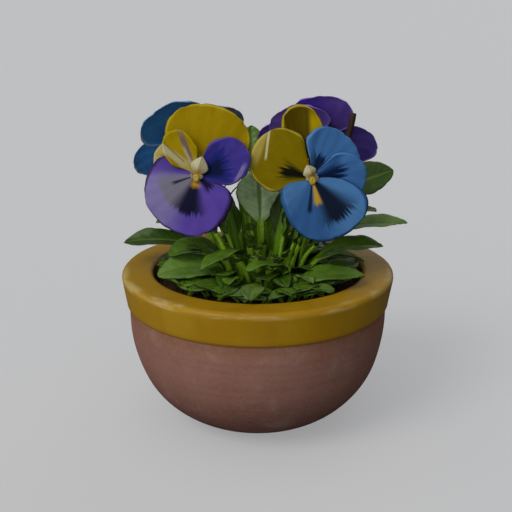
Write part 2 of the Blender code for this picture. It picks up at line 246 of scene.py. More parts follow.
POT_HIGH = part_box("pot")[1]
COLLAR_RADIUS = POT_HIGH.x
POT_HEIGHT = POT_HIGH.z
COLLAR_HEIGHT = 0.245 * COLLAR_RADIUS
COLLAR_FOOT_RADIUS = 0.970 * COLLAR_RADIUS
MOUTH_RADIUS = 0.775 * COLLAR_RADIUS
SHOULDER_RADIUS = 0.955 * COLLAR_RADIUS
FOOT_RADIUS = 0.42 * COLLAR_RADIUS
BOWL_SQUARENESS = 2.45
BOWL_WALL = 8.5 * MM
FLOOR_THICKNESS = 8 * MM
COLLAR_ROUNDING = 2.8 * MM
DRAIN_HOLES = 3
DRAIN_RADIUS = 5 * MM
DRAIN_CIRCLE = 18 * MM
TURNING_STEPS = 224
CLAY_COLOUR = (0.310, 0.140, 0.106)
CLAY_PALE = (0.355, 0.178, 0.138)
UNDER_COLLAR_SHADE_AND_REFLECTION = (0.28, 0.115, 0.040)
CLAY_DARK = (0.165, 0.066, 0.050)
CLAY_BLOOM = (0.50, 0.36, 0.31)
CLAY_GRIT = (0.16, 0.08, 0.06)
CLAY_GRAIN = (0.44, 0.27, 0.22)
RIPPLE = 0.35 * MM
NICK = 1.3 * MM


def bowl_radius(height, wall=0.0):
    """Radius of the bowl's skin, or of its inside a wall's thickness in, at a height."""
    shoulder = POT_HEIGHT - COLLAR_HEIGHT
    depth = shoulder / (1 - (FOOT_RADIUS / SHOULDER_RADIUS) ** BOWL_SQUARENESS) ** (1 / BOWL_SQUARENESS)
    drop = max(0.0, (shoulder - height) / (depth - wall))
    return (SHOULDER_RADIUS - wall) * max(0.0, 1 - drop**BOWL_SQUARENESS) ** (1 / BOWL_SQUARENESS)


def arc(centre, radius, start, end, steps):
    """Points (r, z) along an arc, angles in degrees."""
    angles = (math.radians(start + (end - start) * step / steps) for step in range(steps + 1))
    return [(centre[0] + radius * math.cos(a), centre[1] + radius * math.sin(a)) for a in angles]


def line(first, last, steps):
    """Points (r, z) along a straight run, without its two ends."""
    shares = (step / steps for step in range(1, steps))
    return [(first[0] + (last[0] - first[0]) * s, first[1] + (last[1] - first[1]) * s) for s in shares]


def collar_profile(proud=0.0):
    """The collar from its inner lip over the top and down its face to the shoulder's shadow gap."""
    top = POT_HEIGHT
    shoulder = top - COLLAR_HEIGHT
    inner = MOUTH_RADIUS + COLLAR_ROUNDING
    outer = COLLAR_RADIUS - COLLAR_ROUNDING
    points = arc((inner, top - COLLAR_ROUNDING), COLLAR_ROUNDING + proud, 180, 90, 6)
    points += line(points[-1], (outer, top + proud), 9)
    points += arc((outer, top - COLLAR_ROUNDING), COLLAR_ROUNDING + proud, 90, 4, 8)
    foot_rounding = COLLAR_ROUNDING * 0.62
    foot = (COLLAR_FOOT_RADIUS - foot_rounding, shoulder + foot_rounding)
    points += line(points[-1], (COLLAR_FOOT_RADIUS + proud, foot[1]), 10)
    return points + arc(foot, foot_rounding + proud, 0, -84, 5)


def smooth_mesh(name, made):
    """The finished mesh of what has been built, with smooth shading."""
    mesh = bpy.data.meshes.new(name)
    made.to_mesh(mesh)
    made.free()
    mesh.shade_smooth()
    return mesh


def turn(name, profile, closed=False):
    """A turned mesh from a profile of (r, z) points. Points at r = 0 become one point."""
    made = bmesh.new()
    rings = []
    for radius, height in profile:
        if radius < 1e-6:
            rings.append([made.verts.new((0, 0, height))] * TURNING_STEPS)
            continue
        angles = (2 * math.pi * step / TURNING_STEPS for step in range(TURNING_STEPS))
        rings.append([made.verts.new((radius * math.cos(a), radius * math.sin(a), height)) for a in angles])
    pairs = list(zip(rings, rings[1:]))
    if closed:
        pairs.append((rings[-1], rings[0]))
    for upper, lower in pairs:
        for step in range(TURNING_STEPS):
            after = (step + 1) % TURNING_STEPS
            corners = [upper[step], upper[after], lower[after], lower[step]]
            made.faces.new(list(dict.fromkeys(corners)))
    bmesh.ops.recalc_face_normals(made, faces=made.faces)
    return smooth_mesh(name, made)


def piece(name, mesh, *finishes):
    made = bpy.data.objects.new(name, mesh)
    scene.collection.objects.link(made)
    for finish in finishes:
        mesh.materials.append(finish)
    return made


def belongs(made, slot, *nodes):
    """The piece rides with the planter and stands for the nodes, whose parts are hidden. Its slot is not
    used.
    """
    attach(made, "root")
    if nodes:
        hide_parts(*nodes)


def settle(made):
    """Turns a piece's modifiers into plain mesh."""
    graph = bpy.context.evaluated_depsgraph_get()
    plain = bpy.data.meshes.new_from_object(made.evaluated_get(graph))
    made.modifiers.clear()
    made.data = plain


def hand_of_thrower(mesh):
    """The small waves that fingers leave in turned clay, and the nicks along the collar's edge."""
    for vertex in mesh.vertices:
        place = vertex.co
        out = Vector((place.x, place.y, 0))
        if out.length < 1e-4:
            continue
        shift = RIPPLE * noise.noise(Vector((place.x * 14, place.y * 14, place.z * 45)))
        rounded = math.exp(-(((out.length - COLLAR_RADIUS + 1.4 * MM) / (2.2 * MM)) ** 2))
        rounded *= math.exp(-(((place.z - POT_HEIGHT + 1.4 * MM) / (2.6 * MM)) ** 2))
        nick = max(0.0, noise.noise(Vector((place.x * 85, place.y * 85, 3.0))) - 0.12)
        shift -= NICK * nick * rounded
        vertex.co = place + out.normalized() * shift


def clay_finish():
    finish = Finish("bare_clay", roughness=0.8)
    finish.set("Specular IOR Level", 0.12)
    place = finish.place()
    height = finish.split(place)["Z"]
    broad = finish.cloud(place, 22.0, 4.0)
    grain = finish.cloud(place, 420.0, 5.0, 0.7)
    rings = finish.cloud(finish.stretch(place, (3, 3, 260)), 1.0, 3.0)
    bloom = finish.between(finish.cloud(place, 46.0, 6.0, 0.65), 0.52, 0.72)
    grit = finish.between(finish.cells(place, 560.0), 0.10, 0.22, 1.0, 0.0)
    colour = finish.mix(finish.between(broad, 0.3, 0.7), CLAY_COLOUR, CLAY_PALE)
    colour = finish.mix(finish.between(rings, 0.35, 0.75, 0.0, 0.22), colour, CLAY_DARK)
    # Painted shade and painted reflection: the clay just under the collar is tinted darker and redder, as if
    # shaded by the collar and lit by the ochre glaze above it.
    under_collar_shade = finish.between(height, POT_HEIGHT - 0.034, POT_HEIGHT - COLLAR_HEIGHT + 0.001)
    colour = finish.mix(finish.times(under_collar_shade, 0.55), colour, UNDER_COLLAR_SHADE_AND_REFLECTION)
    # Painted shade: the clay is mixed strongly towards dark clay near the foot.
    foot_shade = finish.between(height, 0.002, 0.052, 0.95, 0.0)
    colour = finish.mix(foot_shade, colour, CLAY_DARK)
    colour = finish.mix(finish.times(bloom, 0.30), colour, CLAY_BLOOM)
    # Darker patches towards the bottom of the bowl.
    low_dark_patches = finish.between(finish.cloud(place, 30.0, 3.0), 0.62, 0.70, 0.0, 0.35)
    low_dark_patches = finish.times(low_dark_patches, finish.between(height, 0.012, 0.05, 1.0, 0.0))
    colour = finish.mix(low_dark_patches, colour, CLAY_DARK)
    colour = finish.mix(finish.times(grit, 0.35), colour, CLAY_GRIT)
    colour = finish.mix(finish.between(grain, 0.3, 0.7, 0.0, 0.22), colour, CLAY_GRAIN)
    finish.set("Base Color", colour)
    finish.set("Roughness", finish.between(broad, 0.3, 0.7, 0.74, 0.88))
    relief = finish.bump(rings, 0.30, 0.0006)
    relief = finish.bump(grain, 0.35, 0.0003, relief)
    finish.set("Normal", relief)
    return finish.material


def make_bowl():
    shoulder = POT_HEIGHT - COLLAR_HEIGHT
    inner_steps = 18
    profile = [(radius, FLOOR_THICKNESS) for radius in (0, 10 * MM, 25 * MM)]
    for step in range(inner_steps + 1):
        height = FLOOR_THICKNESS + (shoulder - FLOOR_THICKNESS) * step / inner_steps
        profile.append((bowl_radius(height, BOWL_WALL), height))
    profile.append((MOUTH_RADIUS + 1.5 * MM, POT_HEIGHT - 0.75 * COLLAR_HEIGHT))
    profile += [(MOUTH_RADIUS, POT_HEIGHT - share * COLLAR_HEIGHT) for share in (0.55, 0.4, 0.25)]
    profile += collar_profile()
    outer_steps = 48
    for step in range(outer_steps + 1):
        height = shoulder * (1 - step / outer_steps) ** 1.3
        profile.append((bowl_radius(height), height))
    profile += [(FOOT_RADIUS * 0.6, 0), (0, 0)]
    bowl = piece("bowl", turn("bowl", profile), clay_finish())
    hand_of_thrower(bowl.data)
    for hole in range(DRAIN_HOLES):
        angle = 2 * math.pi * hole / DRAIN_HOLES + math.pi / 2
        place = Matrix.Translation((DRAIN_CIRCLE * math.cos(angle), DRAIN_CIRCLE * math.sin(angle), 0))
        drill = bmesh.new()
        bmesh.ops.create_cone(
            drill, cap_ends=True, segments=40, radius1=DRAIN_RADIUS * 1.12, radius2=DRAIN_RADIUS,
            depth=4 * FLOOR_THICKNESS, matrix=place,
        )
        mesh = bpy.data.meshes.new("drill")
        drill.to_mesh(mesh)
        drill.free()
        cutter = bpy.data.objects.new("drill", mesh)
        scene.collection.objects.link(cutter)
        cut = bowl.modifiers.new("drill", "BOOLEAN")
        cut.object = cutter
        settle(bowl)
        bpy.data.objects.remove(cutter)
    bowl.data.set_sharp_from_angle(angle=math.radians(38))
    belongs(bowl, "clay", "pot")


make_bowl()

# ======================================================================================
# The collar's glaze: an ochre earthenware glaze brushed over the rolled collar, inside lip to shoulder. It
# pools along the foot of the collar and breaks thinner and paler on edges; that pale outer top edge,
# strongest at the front, is also a painted highlight.

GLAZE_PROUD = 0.30 * MM
SOIL_EDGE_DROP = 8.5 * MM
GLAZE_OCHRE = (0.44, 0.240, 0.004)
GLAZE_THIN_AND_HIGHLIGHT = (0.74, 0.62, 0.30)
GLAZE_POOLED = (0.34, 0.165, 0.003)
GLAZE_SPECK = (0.12, 0.05, 0.01)
GLAZE_WARM = (0.48, 0.275, 0.010)
EDGE_HIGHLIGHT_AT = (-34 * MM, -71 * MM, 0.0)


def glaze_finish():
    finish = Finish("ochre_glaze", roughness=0.34)
    place = finish.place()
    x, y, height = finish.split(place)
    around = finish.join(x, y)
    reach = finish.node("VectorMath", {0: around}, operation="LENGTH").outputs["Value"]
    runs = finish.cloud(finish.stretch(place, (60, 60, 14)), 1.0, 4.0)
    broad = finish.cloud(place, 26.0, 3.0)
    colour = finish.mix(finish.between(broad, 0.3, 0.7), GLAZE_OCHRE, GLAZE_WARM)
    colour = finish.mix(finish.between(runs, 0.45, 0.8, 0.0, 0.5), colour, GLAZE_POOLED)
    low = POT_HEIGHT - COLLAR_HEIGHT
    pooled = finish.between(height, low, low + 0.004, 0.75, 0.0)
    colour = finish.mix(pooled, colour, GLAZE_POOLED)
    # Painted highlight as well as wear: the outer top edge turns pale in streaks, most strongly near a spot
    # on the front of the collar.
    edge_high = finish.between(height, POT_HEIGHT - 0.0040, POT_HEIGHT - 0.0018)
    edge_out = finish.between(reach, COLLAR_RADIUS - 0.0050, COLLAR_RADIUS - 0.0026)
    edge = finish.times(edge_high, edge_out)
    wear_and_highlight = finish.between(finish.cloud(finish.stretch(place, (34, 34, 260)), 1.0, 3.0), 0.46, 0.64)
    from_edge_highlight = finish.node("VectorMath", {0: around, 1: EDGE_HIGHLIGHT_AT}, operation="DISTANCE").outputs["Value"]
    strength = finish.between(from_edge_highlight, 0.012, 0.034, 0.85, 0.38)
    colour = finish.mix(finish.times(finish.times(edge, wear_and_highlight), strength), colour, GLAZE_THIN_AND_HIGHLIGHT)
    specks = finish.between(finish.cells(place, 330.0), 0.07, 0.14, 1.0, 0.0)
    rare = finish.between(finish.cloud(place, 75.0), 0.50, 0.62)
    specks = finish.times(finish.times(specks, rare), 0.6)
    colour = finish.mix(specks, colour, GLAZE_SPECK)
    finish.set("Base Color", colour)
    finish.set("Roughness", finish.between(broad, 0.3, 0.7, 0.30, 0.44))
    finish.set("Specular IOR Level", 0.25)
    relief = finish.bump(runs, 0.35, 0.0012)
    relief = finish.bump(finish.cloud(place, 240.0, 3.0), 0.12, 0.0004, relief)
    finish.set("Normal", relief)
    return finish.material


def make_glaze():
    foot = POT_HEIGHT - SOIL_EDGE_DROP - 2 * MM
    rows = [foot + (POT_HEIGHT - COLLAR_ROUNDING - foot) * step / 5 for step in range(5)]
    skin = [(MOUTH_RADIUS - GLAZE_PROUD, height) for height in rows] + collar_profile(GLAZE_PROUD)
    under = [(MOUTH_RADIUS + 0.1 * MM, height) for height in rows] + collar_profile(-0.1 * MM)
    back = list(reversed(under))
    glaze = piece("collar_glaze", turn("collar_glaze", skin + back, closed=True), glaze_finish())
    hand_of_thrower(glaze.data)
    belongs(glaze, "glaze")


make_glaze()

# ======================================================================================
# The soil: dark peat and fine bark, firmed by hand to just under the collar's top, with
# loose crumbs lying on it. It is one body that takes the inside shape of the bowl.

SOIL_CROWN = 3 * MM
GAP = 0.3 * MM
SOIL_COLOUR = (0.040, 0.024, 0.014)
SOIL_PALE = (0.105, 0.065, 0.038)
SOIL_FIBRE = (0.16, 0.10, 0.06)
CRUMBS_PER_SQUARE_METRE = 130000.0
CRUMB_SMALL = 0.5
CRUMB_LARGE = 1.5
CRUMB_RADIUS = 0.85 * MM


def soil_height(radius):
    """The soil's top: a low dome, lowest where it meets the clay."""
    share = min(1.0, radius / MOUTH_RADIUS)
    return POT_HEIGHT - SOIL_EDGE_DROP + SOIL_CROWN * (1 - share * share)


def soil_finish():
    finish = Finish("potting_soil", roughness=0.95)
    finish.set("Specular IOR Level", 0.2)
    place = finish.place()
    clods = finish.cloud(place, 160.0, 6.0, 0.7)
    fibres = finish.cloud(finish.stretch(place, (900, 260, 500)), 1.0, 3.0)
    colour = finish.mix(finish.between(clods, 0.35, 0.7), SOIL_COLOUR, SOIL_PALE)
    colour = finish.mix(finish.between(fibres, 0.62, 0.75, 0.0, 0.5), colour, SOIL_FIBRE)
    finish.set("Base Color", colour)
    finish.set("Normal", finish.bump(clods, 0.8, 0.0016))
    return finish.material


def scatter_tree(name):
    """Small lumps strewn over a surface: how many, their size, the seed and their material."""
    tree = bpy.data.node_groups.new(name, "GeometryNodeTree")
    face = tree.interface
    face.new_socket("Geometry", in_out="OUTPUT", socket_type="NodeSocketGeometry")
    face.new_socket("Geometry", in_out="INPUT", socket_type="NodeSocketGeometry")
    for label, kind in (("Density", "Float"), ("Radius", "Float"), ("Smallest", "Float"),
                        ("Largest", "Float"), ("Seed", "Int"), ("Material", "Material")):
        face.new_socket(label, in_out="INPUT", socket_type="NodeSocket" + kind)
    given = tree.nodes.new("NodeGroupInput").outputs
    made = {}
    for label in ("DistributePointsOnFaces", "MeshIcoSphere", "InstanceOnPoints", "RealizeInstances",
                  "SetMaterial", "SetShadeSmooth"):
        made[label] = tree.nodes.new("GeometryNode" + label)
    turned = tree.nodes.new("FunctionNodeRandomValue")
    sized = tree.nodes.new("FunctionNodeRandomValue")
    turned.data_type = sized.data_type = "FLOAT_VECTOR"
    turned.inputs["Max"].default_value = (6.28, 6.28, 6.28)
    result = tree.nodes.new("NodeGroupOutput")
    links = (
        (given["Geometry"], made["DistributePointsOnFaces"].inputs["Mesh"]),
        (given["Density"], made["DistributePointsOnFaces"].inputs["Density"]),
        (given["Seed"], made["DistributePointsOnFaces"].inputs["Seed"]),
        (given["Radius"], made["MeshIcoSphere"].inputs["Radius"]),
        (given["Smallest"], sized.inputs["Min"]),
        (given["Largest"], sized.inputs["Max"]),
        (made["DistributePointsOnFaces"].outputs["Points"], made["InstanceOnPoints"].inputs["Points"]),
        (made["MeshIcoSphere"].outputs["Mesh"], made["InstanceOnPoints"].inputs["Instance"]),
        (turned.outputs["Value"], made["InstanceOnPoints"].inputs["Rotation"]),
        (sized.outputs["Value"], made["InstanceOnPoints"].inputs["Scale"]),
        (made["InstanceOnPoints"].outputs["Instances"], made["RealizeInstances"].inputs["Geometry"]),
        (made["RealizeInstances"].outputs["Geometry"], made["SetShadeSmooth"].inputs["Geometry"]),
        (made["SetShadeSmooth"].outputs["Geometry"], made["SetMaterial"].inputs["Geometry"]),
        (given["Material"], made["SetMaterial"].inputs["Material"]),
        (made["SetMaterial"].outputs["Geometry"], result.inputs["Geometry"]),
    )
    for source, target in links:
        tree.links.new(source, target)
    return tree


def grow(made, tree, **values):
    """Runs a node tree with these named inputs on a piece and keeps the result as plain mesh."""
    modifier = made.modifiers.new(tree.name, "NODES")
    modifier.node_group = tree
    sockets = {item.name: item.identifier for item in tree.interface.items_tree if item.in_out == "INPUT"}
    for label, value in values.items():
        modifier[sockets[label]] = value
    settle(made)


def make_soil():
    mouth = MOUTH_RADIUS - GLAZE_PROUD - GAP
    shoulder = POT_HEIGHT - COLLAR_HEIGHT
    rings = 40
    profile = [(mouth * ring / rings, soil_height(mouth * ring / rings)) for ring in range(rings + 1)]
    profile += [(mouth, POT_HEIGHT - 0.6 * COLLAR_HEIGHT)]
    for step in range(9):
        height = shoulder + (FLOOR_THICKNESS + GAP - shoulder) * step / 8
        profile.append((bowl_radius(height, BOWL_WALL) - GAP, height))
    profile.append((0, FLOOR_THICKNESS + GAP))
    finish = soil_finish()
    soil = piece("soil_bed", turn("soil_bed", profile), finish)
    top = POT_HEIGHT - SOIL_EDGE_DROP - 0.5 * MM
    for vertex in soil.data.vertices:
        radius = Vector(vertex.co[:2]).length
        if vertex.co.z < top or radius > mouth - 0.5 * MM:
            continue
        lumps = noise.noise(vertex.co * 190) * 0.9 + noise.noise(vertex.co * 480) * 0.5
        vertex.co.z += lumps * MM * 0.9
    belongs(soil, "soil", "soil")
    disc = bmesh.new()
    bmesh.ops.create_circle(disc, cap_ends=True, segments=64, radius=mouth - 1.2 * MM)
    bmesh.ops.translate(disc, verts=disc.verts, vec=(0, 0, POT_HEIGHT - SOIL_EDGE_DROP))
    mesh = bpy.data.meshes.new("soil_crumbs")
    disc.to_mesh(mesh)
    disc.free()
    crumbs = piece("soil_crumbs", mesh, finish)
    grow(crumbs, scatter_tree("crumbs"), Density=CRUMBS_PER_SQUARE_METRE, Radius=CRUMB_RADIUS,
         Smallest=CRUMB_SMALL, Largest=CRUMB_LARGE, Seed=7, Material=finish)
    for vertex in crumbs.data.vertices:
        vertex.co.z += soil_height(Vector(vertex.co[:2]).length) - (POT_HEIGHT - SOIL_EDGE_DROP) + 0.2 * MM
    belongs(crumbs, "soil")


make_soil()

# ======================================================================================
# The leaves: glossy, spoon-shaped blades with scalloped edges on channelled stalks that
# spring from the crown of the plant. The veins are sunk and the flesh between them swells.

LEAVES = {  # root (x, y), tip (x, y, z), blade width, arch, roll, share that is stalk, how light (partly painted light and shade, set to how lit each leaf looks)
    "leaf_left": ((-20, 1), (-80, 6, 105), 25, 12, -8, 0.34, 0.06),
    "leaf_left_back": ((-18, 12), (-62, 22, 113), 24, 14, -6, 0.36, 0.6),
    "leaf_left_mid": ((-14, -9), (-51, -20, 105), 22, 14, -12, 0.28, 0.45),
    "leaf_left_front": ((-12, -22), (-57, -28, 96), 27, 10, -16, 0.26, 0.74),
    "leaf_left_low": ((-11, -32), (-36, -48, 94), 13, 5, -10, 0.30, 0.35),
    "leaf_front_left": ((1, -17), (-31, -41, 103), 18, 18, 10, 0.34, 0.62),
    "leaf_front_low": ((-1, -33), (-4, -67, 95), 14, 6, 0, 0.32, 0.7),
    "leaf_front_mid": ((21, -28), (-6, -42, 103), 18, 12, 0, 0.26, 0.6),
    "leaf_front_right": ((14, -37), (60, -35, 98), 21, 7, 6, 0.24, 0.6),
    "leaf_front_right_low": ((16, -46), (42, -48, 94), 11, 4, 6, 0.22, 0.4),
    "leaf_right": ((27, -8), (74, -2, 105), 20, 11, 8, 0.30, 0.5),
    "leaf_right_mid": ((25, -23), (61, -19, 101), 11, 15, 0, 0.34, 0.3),
    "leaf_right_high": ((24, 8), (88, 0, 119), 20, 12, 8, 0.40, 0.76),
    "leaf_right_back": ((22, 18), (74, 34, 118), 18, 14, 0, 0.44, 0.4),
    "leaf_right_tall": ((16, 24), (84, 39, 142), 27, 12, 33, 0.50, 0.2),
    "leaf_centre": ((2, 2), (0, 9, 150), 30, 6, 0, 0.34, 1),
    "leaf_centre_back": ((-3, 22), (-4, 44, 169), 18, 8, 0, 0.56, 0.7),
    "leaf_centre_left": ((-8, -2), (-19, 2, 135), 16, 6, 10, 0.34, 0.7),
    "leaf_inner_left": ((-14, 5), (-38, 14, 129), 22, 8, 0, 0.40, 0.5),
    "leaf_blade_right": ((11, -4), (14, -1, 138), 11, 5, 60, 0.30, 0.6),
    "leaf_back_left": ((-18, 22), (-54, 52, 108), 24, 12, 0, 0.38, 0.5),
    "leaf_back_mid_left": ((-9, 29), (-24, 70, 102), 22, 12, 0, 0.36, 0.5),
    "leaf_back": ((2, 31), (6, 73, 106), 24, 14, 0, 0.36, 0.5),
    "leaf_back_right": ((11, 30), (38, 66, 101), 22, 12, 0, 0.34, 0.5),
    "leaf_back_inner": ((6, 15), (14, 46, 128), 24, 12, 0, 0.44, 0.5),
    "leaf_back_far_right": ((21, 28), (62, 52, 109), 20, 11, 0, 0.38, 0.5),
}
LEAF_ROWS = 72
LEAF_COLUMNS = 14
STALK_HALF_WIDTH = 2.1 * MM
STALK_DEPTH = 1.1 * MM
BLADE_DEPTH = 0.32 * MM
VEIN_SPACING = 5.2 * MM
SCALLOPS = 6
SCALLOP_DEPTH = 0.05
LEAF_GREEN = (0.030, 0.078, 0.003)
LEAF_BRIGHT = (0.115, 0.235, 0.014)
LEAF_PALE_LIT = (0.70, 0.98, 0.52)
LEAF_DEEP = (0.022, 0.060, 0.003)
LEAF_VEIN = (0.125, 0.215, 0.026)
LEAF_STALK = (0.150, 0.340, 0.006)
STALK_LIGHT = (0.42, 0.72, 0.04)
LEAF_UNDER_SHADED = (0.030, 0.048, 0.012)
LEAF_PAINTED_GLOSS = (0.34, 0.44, 0.20)


def smooth_step(low, high, value):
    share = min(1.0, max(0.0, (value - low) / (high - low)))
    return share * share * (3 - 2 * share)


def bezier(corners, share):
    first, second, third, fourth = corners
    left = 1 - share
    return (
        first * left**3 + second * 3 * left * left * share + third * 3 * left * share * share
        + fourth * share**3
    )


def heading_of(corners, share):
    """The direction in which a curve runs at a share of its way."""
    return (bezier(corners, min(1.0, share + 0.01)) - bezier(corners, max(0.0, share - 0.01))).normalized()


def two_sided(name, rows, columns, skin, upper, under, ring=False):
    """
    A thin closed piece from skin(across, along), which gives a point above, a point below and
    the place on the piece that its finish reads. across runs from -1 to 1, along from 0 to 1.
    On a ring, across -1 and across 1 are the same line.
    """
    made = bmesh.new()
    lay = made.verts.layers.float_vector.new("lay")
    above = []
    below = []
    for row in range(rows + 1):
        above.append([])
        below.append([])
        for column in range(columns if ring else columns + 1):
            high, low, where = skin(column / columns * 2 - 1, row / rows)
            edge = row in (0, rows) or (column in (0, columns) and not ring)
            top = made.verts.new((high + low) / 2 if edge else high)
            bottom = top if edge else made.verts.new(low)
            top[lay] = where
            bottom[lay] = where
            above[-1].append(top)
            below[-1].append(bottom)
        if ring:
            above[-1].append(above[-1][0])
            below[-1].append(below[-1][0])
    for near in range(rows):
        far = near + 1
        for left in range(columns):
            right = left + 1
            corner = near in (0, rows - 1) and left in (0, columns - 1) and not ring
            start = 1 if corner and (near == 0) == (left != 0) else 0
            for sheet in (above, below):
                quad = [sheet[near][left], sheet[near][right], sheet[far][right], sheet[far][left]]
                quad = quad[start:] + quad[:start]
                for part in (quad[:3], [quad[0], *quad[2:]]) if corner else (quad,):
                    face = made.faces.new(part if sheet is above else part[::-1])
                    face.material_index = int(sheet is below)
    if made.calc_volume(signed=True) < 0:
        bmesh.ops.reverse_faces(made, faces=made.faces)
    return piece(name, smooth_mesh(name, made), upper, under)


def leaf_skin(spec, seed):
    """The surface of one leaf, which follows an arching spine from the soil to its tip."""
    (root_x, root_y), tip, width, arch, roll, stalk, lightness = spec
    root = Vector((root_x, root_y, 0)) * MM
    root.z = soil_height(root.xy.length) + GAP
    tip = Vector(tip) * MM
    width *= MM
    reach = tip - root
    heading = Vector((reach.x, reach.y, 0)).normalized()
    rise = Vector((0, 0, 0.55 * reach.z + arch * MM))
    shoulder = root + reach * 0.62 + Vector((0, 0, arch * MM))
    corners = (root, root + rise + heading * 0.10 * reach.xy.length, shoulder, tip)
    side = Vector((0, 0, 1)).cross(heading)
    blade_length = reach.length * (1 - stalk)

    def skin(across, share):
        middle = bezier(corners, share)
        along = heading_of(corners, share)
        turned = Matrix.Rotation(math.radians(roll) * smooth_step(0, stalk, share), 3, along)
        flat = turned @ (side - along * side.dot(along)).normalized()
        up = flat.cross(along)
        if up.z < 0 and abs(roll) < 45:
            up.negate()
        blade = max(0.0, (share - stalk) / (1 - stalk))
        spoon = max(0.0, math.sin(math.pi * blade**1.15)) ** 0.62
        is_blade = smooth_step(0.0, 0.10, blade)
        half = max(STALK_HALF_WIDTH * (1 - 0.75 * smooth_step(0.8, 1.0, blade)), width / 2 * spoon)
        notch = 1 - abs(math.sin(math.pi * SCALLOPS * (blade + 0.03))) ** 0.7
        notch *= is_blade * smooth_step(0.45, 1.0, abs(across)) * smooth_step(1.0, 0.9, blade)
        half *= 1 - SCALLOP_DEPTH * notch
        distance = abs(across) * half
        trough = 0.18 * half * abs(across)
        vein = (blade * blade_length - distance * 0.85) / VEIN_SPACING
        swell = abs(math.sin(math.pi * vein)) ** 0.6 * smooth_step(0.04, 0.35, abs(across))
        swell *= smooth_step(1.0, 0.75, abs(across)) * 0.42 * MM * is_blade
        wave = noise.noise(Vector((blade * 3.2, across * 1.1, seed))) * 2.4 * MM * across * across * is_blade
        groove = 0.75 * MM * math.exp(-((distance / (0.9 * MM)) ** 2))
        channel = STALK_DEPTH * (0.55 * across * across - 0.1)
        top = swell - groove * is_blade * 0.6 + channel * (1 - is_blade)
        rib = 0.85 * MM * math.exp(-((distance / (1.0 * MM)) ** 2)) * smooth_step(1.0, 0.3, blade)
        round_back = STALK_DEPTH * 1.35 * math.sqrt(max(0.0, 1 - across * across))
        bottom = (rib + BLADE_DEPTH - swell) * is_blade + round_back * (1 - is_blade)
        place = middle + flat * (half * across) + up * (trough + wave)
        where = Vector((across, blade if blade > 0 else share / stalk - 1, lightness))
        return place + up * (top + BLADE_DEPTH * is_blade), place - up * bottom, where

    return skin


def leaf_finish(name, under=False):
    finish = Finish(name, roughness=0.42)
    lay = finish.node("Attribute", attribute_name="lay").outputs["Vector"]
    across, along, lightness = finish.split(lay)
    place = finish.place()
    side = finish.unsigned(across)
    mottle = finish.cloud(place, 95.0, 4.0)
    fine = finish.cloud(place, 700.0, 3.0)
    angle = finish.less(finish.times(along, 9.5), finish.times(side, 2.0))
    ripple = finish.unsigned(finish.maths("SINE", finish.times(angle, math.pi)))
    vein = finish.between(ripple, 0.04, 0.22, 1.0, 0.0)
    is_blade = finish.between(along, 0.0, 0.14)
    vein = finish.times(vein, is_blade)
    midrib = finish.between(side, 0.05, 0.13, 1.0, 0.0)
    # Painted light: each leaf's lightness sets how light its green is, and the lightest run to a very pale
    # green that stands in for light and gloss.
    colour = finish.mix(finish.between(lightness, 0.0, 0.7), LEAF_GREEN, LEAF_BRIGHT)
    colour = finish.mix(finish.between(lightness, 0.7, 1.0), colour, LEAF_PALE_LIT)
    colour = finish.mix(finish.between(mottle, 0.38, 0.75, 0.0, 0.5), colour, LEAF_DEEP)
    colour = finish.mix(finish.times(vein, 0.30), colour, LEAF_VEIN)
    colour = finish.mix(finish.between(side, 0.88, 1.0, 0.0, 0.35), colour, LEAF_DEEP)
    colour = finish.mix(finish.times(midrib, 0.75), colour, LEAF_VEIN)
    # Painted highlight: pale patches of gloss spread over the leaf colour.
    painted_gloss = finish.between(finish.cloud(place, 44.0, 2.0), 0.56, 0.70, 0.0, 0.25)
    colour = finish.mix(painted_gloss, colour, LEAF_PAINTED_GLOSS)
    # Painted shade: the lower side is mixed most of the way to a near-black green, darker than its own duller
    # tone.
    if under:
        colour = finish.mix(0.72, colour, LEAF_UNDER_SHADED)
        finish.set("Roughness", 0.62)
    else:
        finish.set("Roughness", finish.between(mottle, 0.3, 0.7, 0.26, 0.38))
    finish.set("Specular IOR Level", 0.32)
    stalk = finish.mix(finish.between(lightness, 0.2, 0.8), LEAF_STALK, STALK_LIGHT)
    stalk = finish.mix(finish.between(fine, 0.35, 0.65, 0.0, 0.3), stalk, LEAF_GREEN)
    foot = finish.between(along, -1.0, -0.60, 0.45, 0.0)
    stalk = finish.mix(foot, stalk, LEAF_DEEP)
    colour = finish.mix(is_blade, stalk, colour)
    finish.set("Base Color", colour)
    relief = finish.bump(finish.less(1.0, vein), 0.35, 0.0004)
    relief = finish.bump(fine, 0.16, 0.0002, relief)
    finish.set("Normal", relief)
    return finish.material


LEAF_UPPER = leaf_finish("leaf_upper_side")
LEAF_LOWER = leaf_finish("leaf_lower_side", under=True)

for order, (leaf_name, leaf_spec) in enumerate(LEAVES.items()):
    leaf_skin_of = leaf_skin(leaf_spec, 1.0 + order * 0.73)
    leaf = two_sided(leaf_name + "_blade", LEAF_ROWS, LEAF_COLUMNS, leaf_skin_of, LEAF_UPPER, LEAF_LOWER)
    belongs(leaf, "leaf_green", leaf_name)

# ======================================================================================
# Young growth: the crowd of stalks, unopened leaves and leafy scales that fills the crown
# between the big leaves. Each grows from the soil at its own lean.

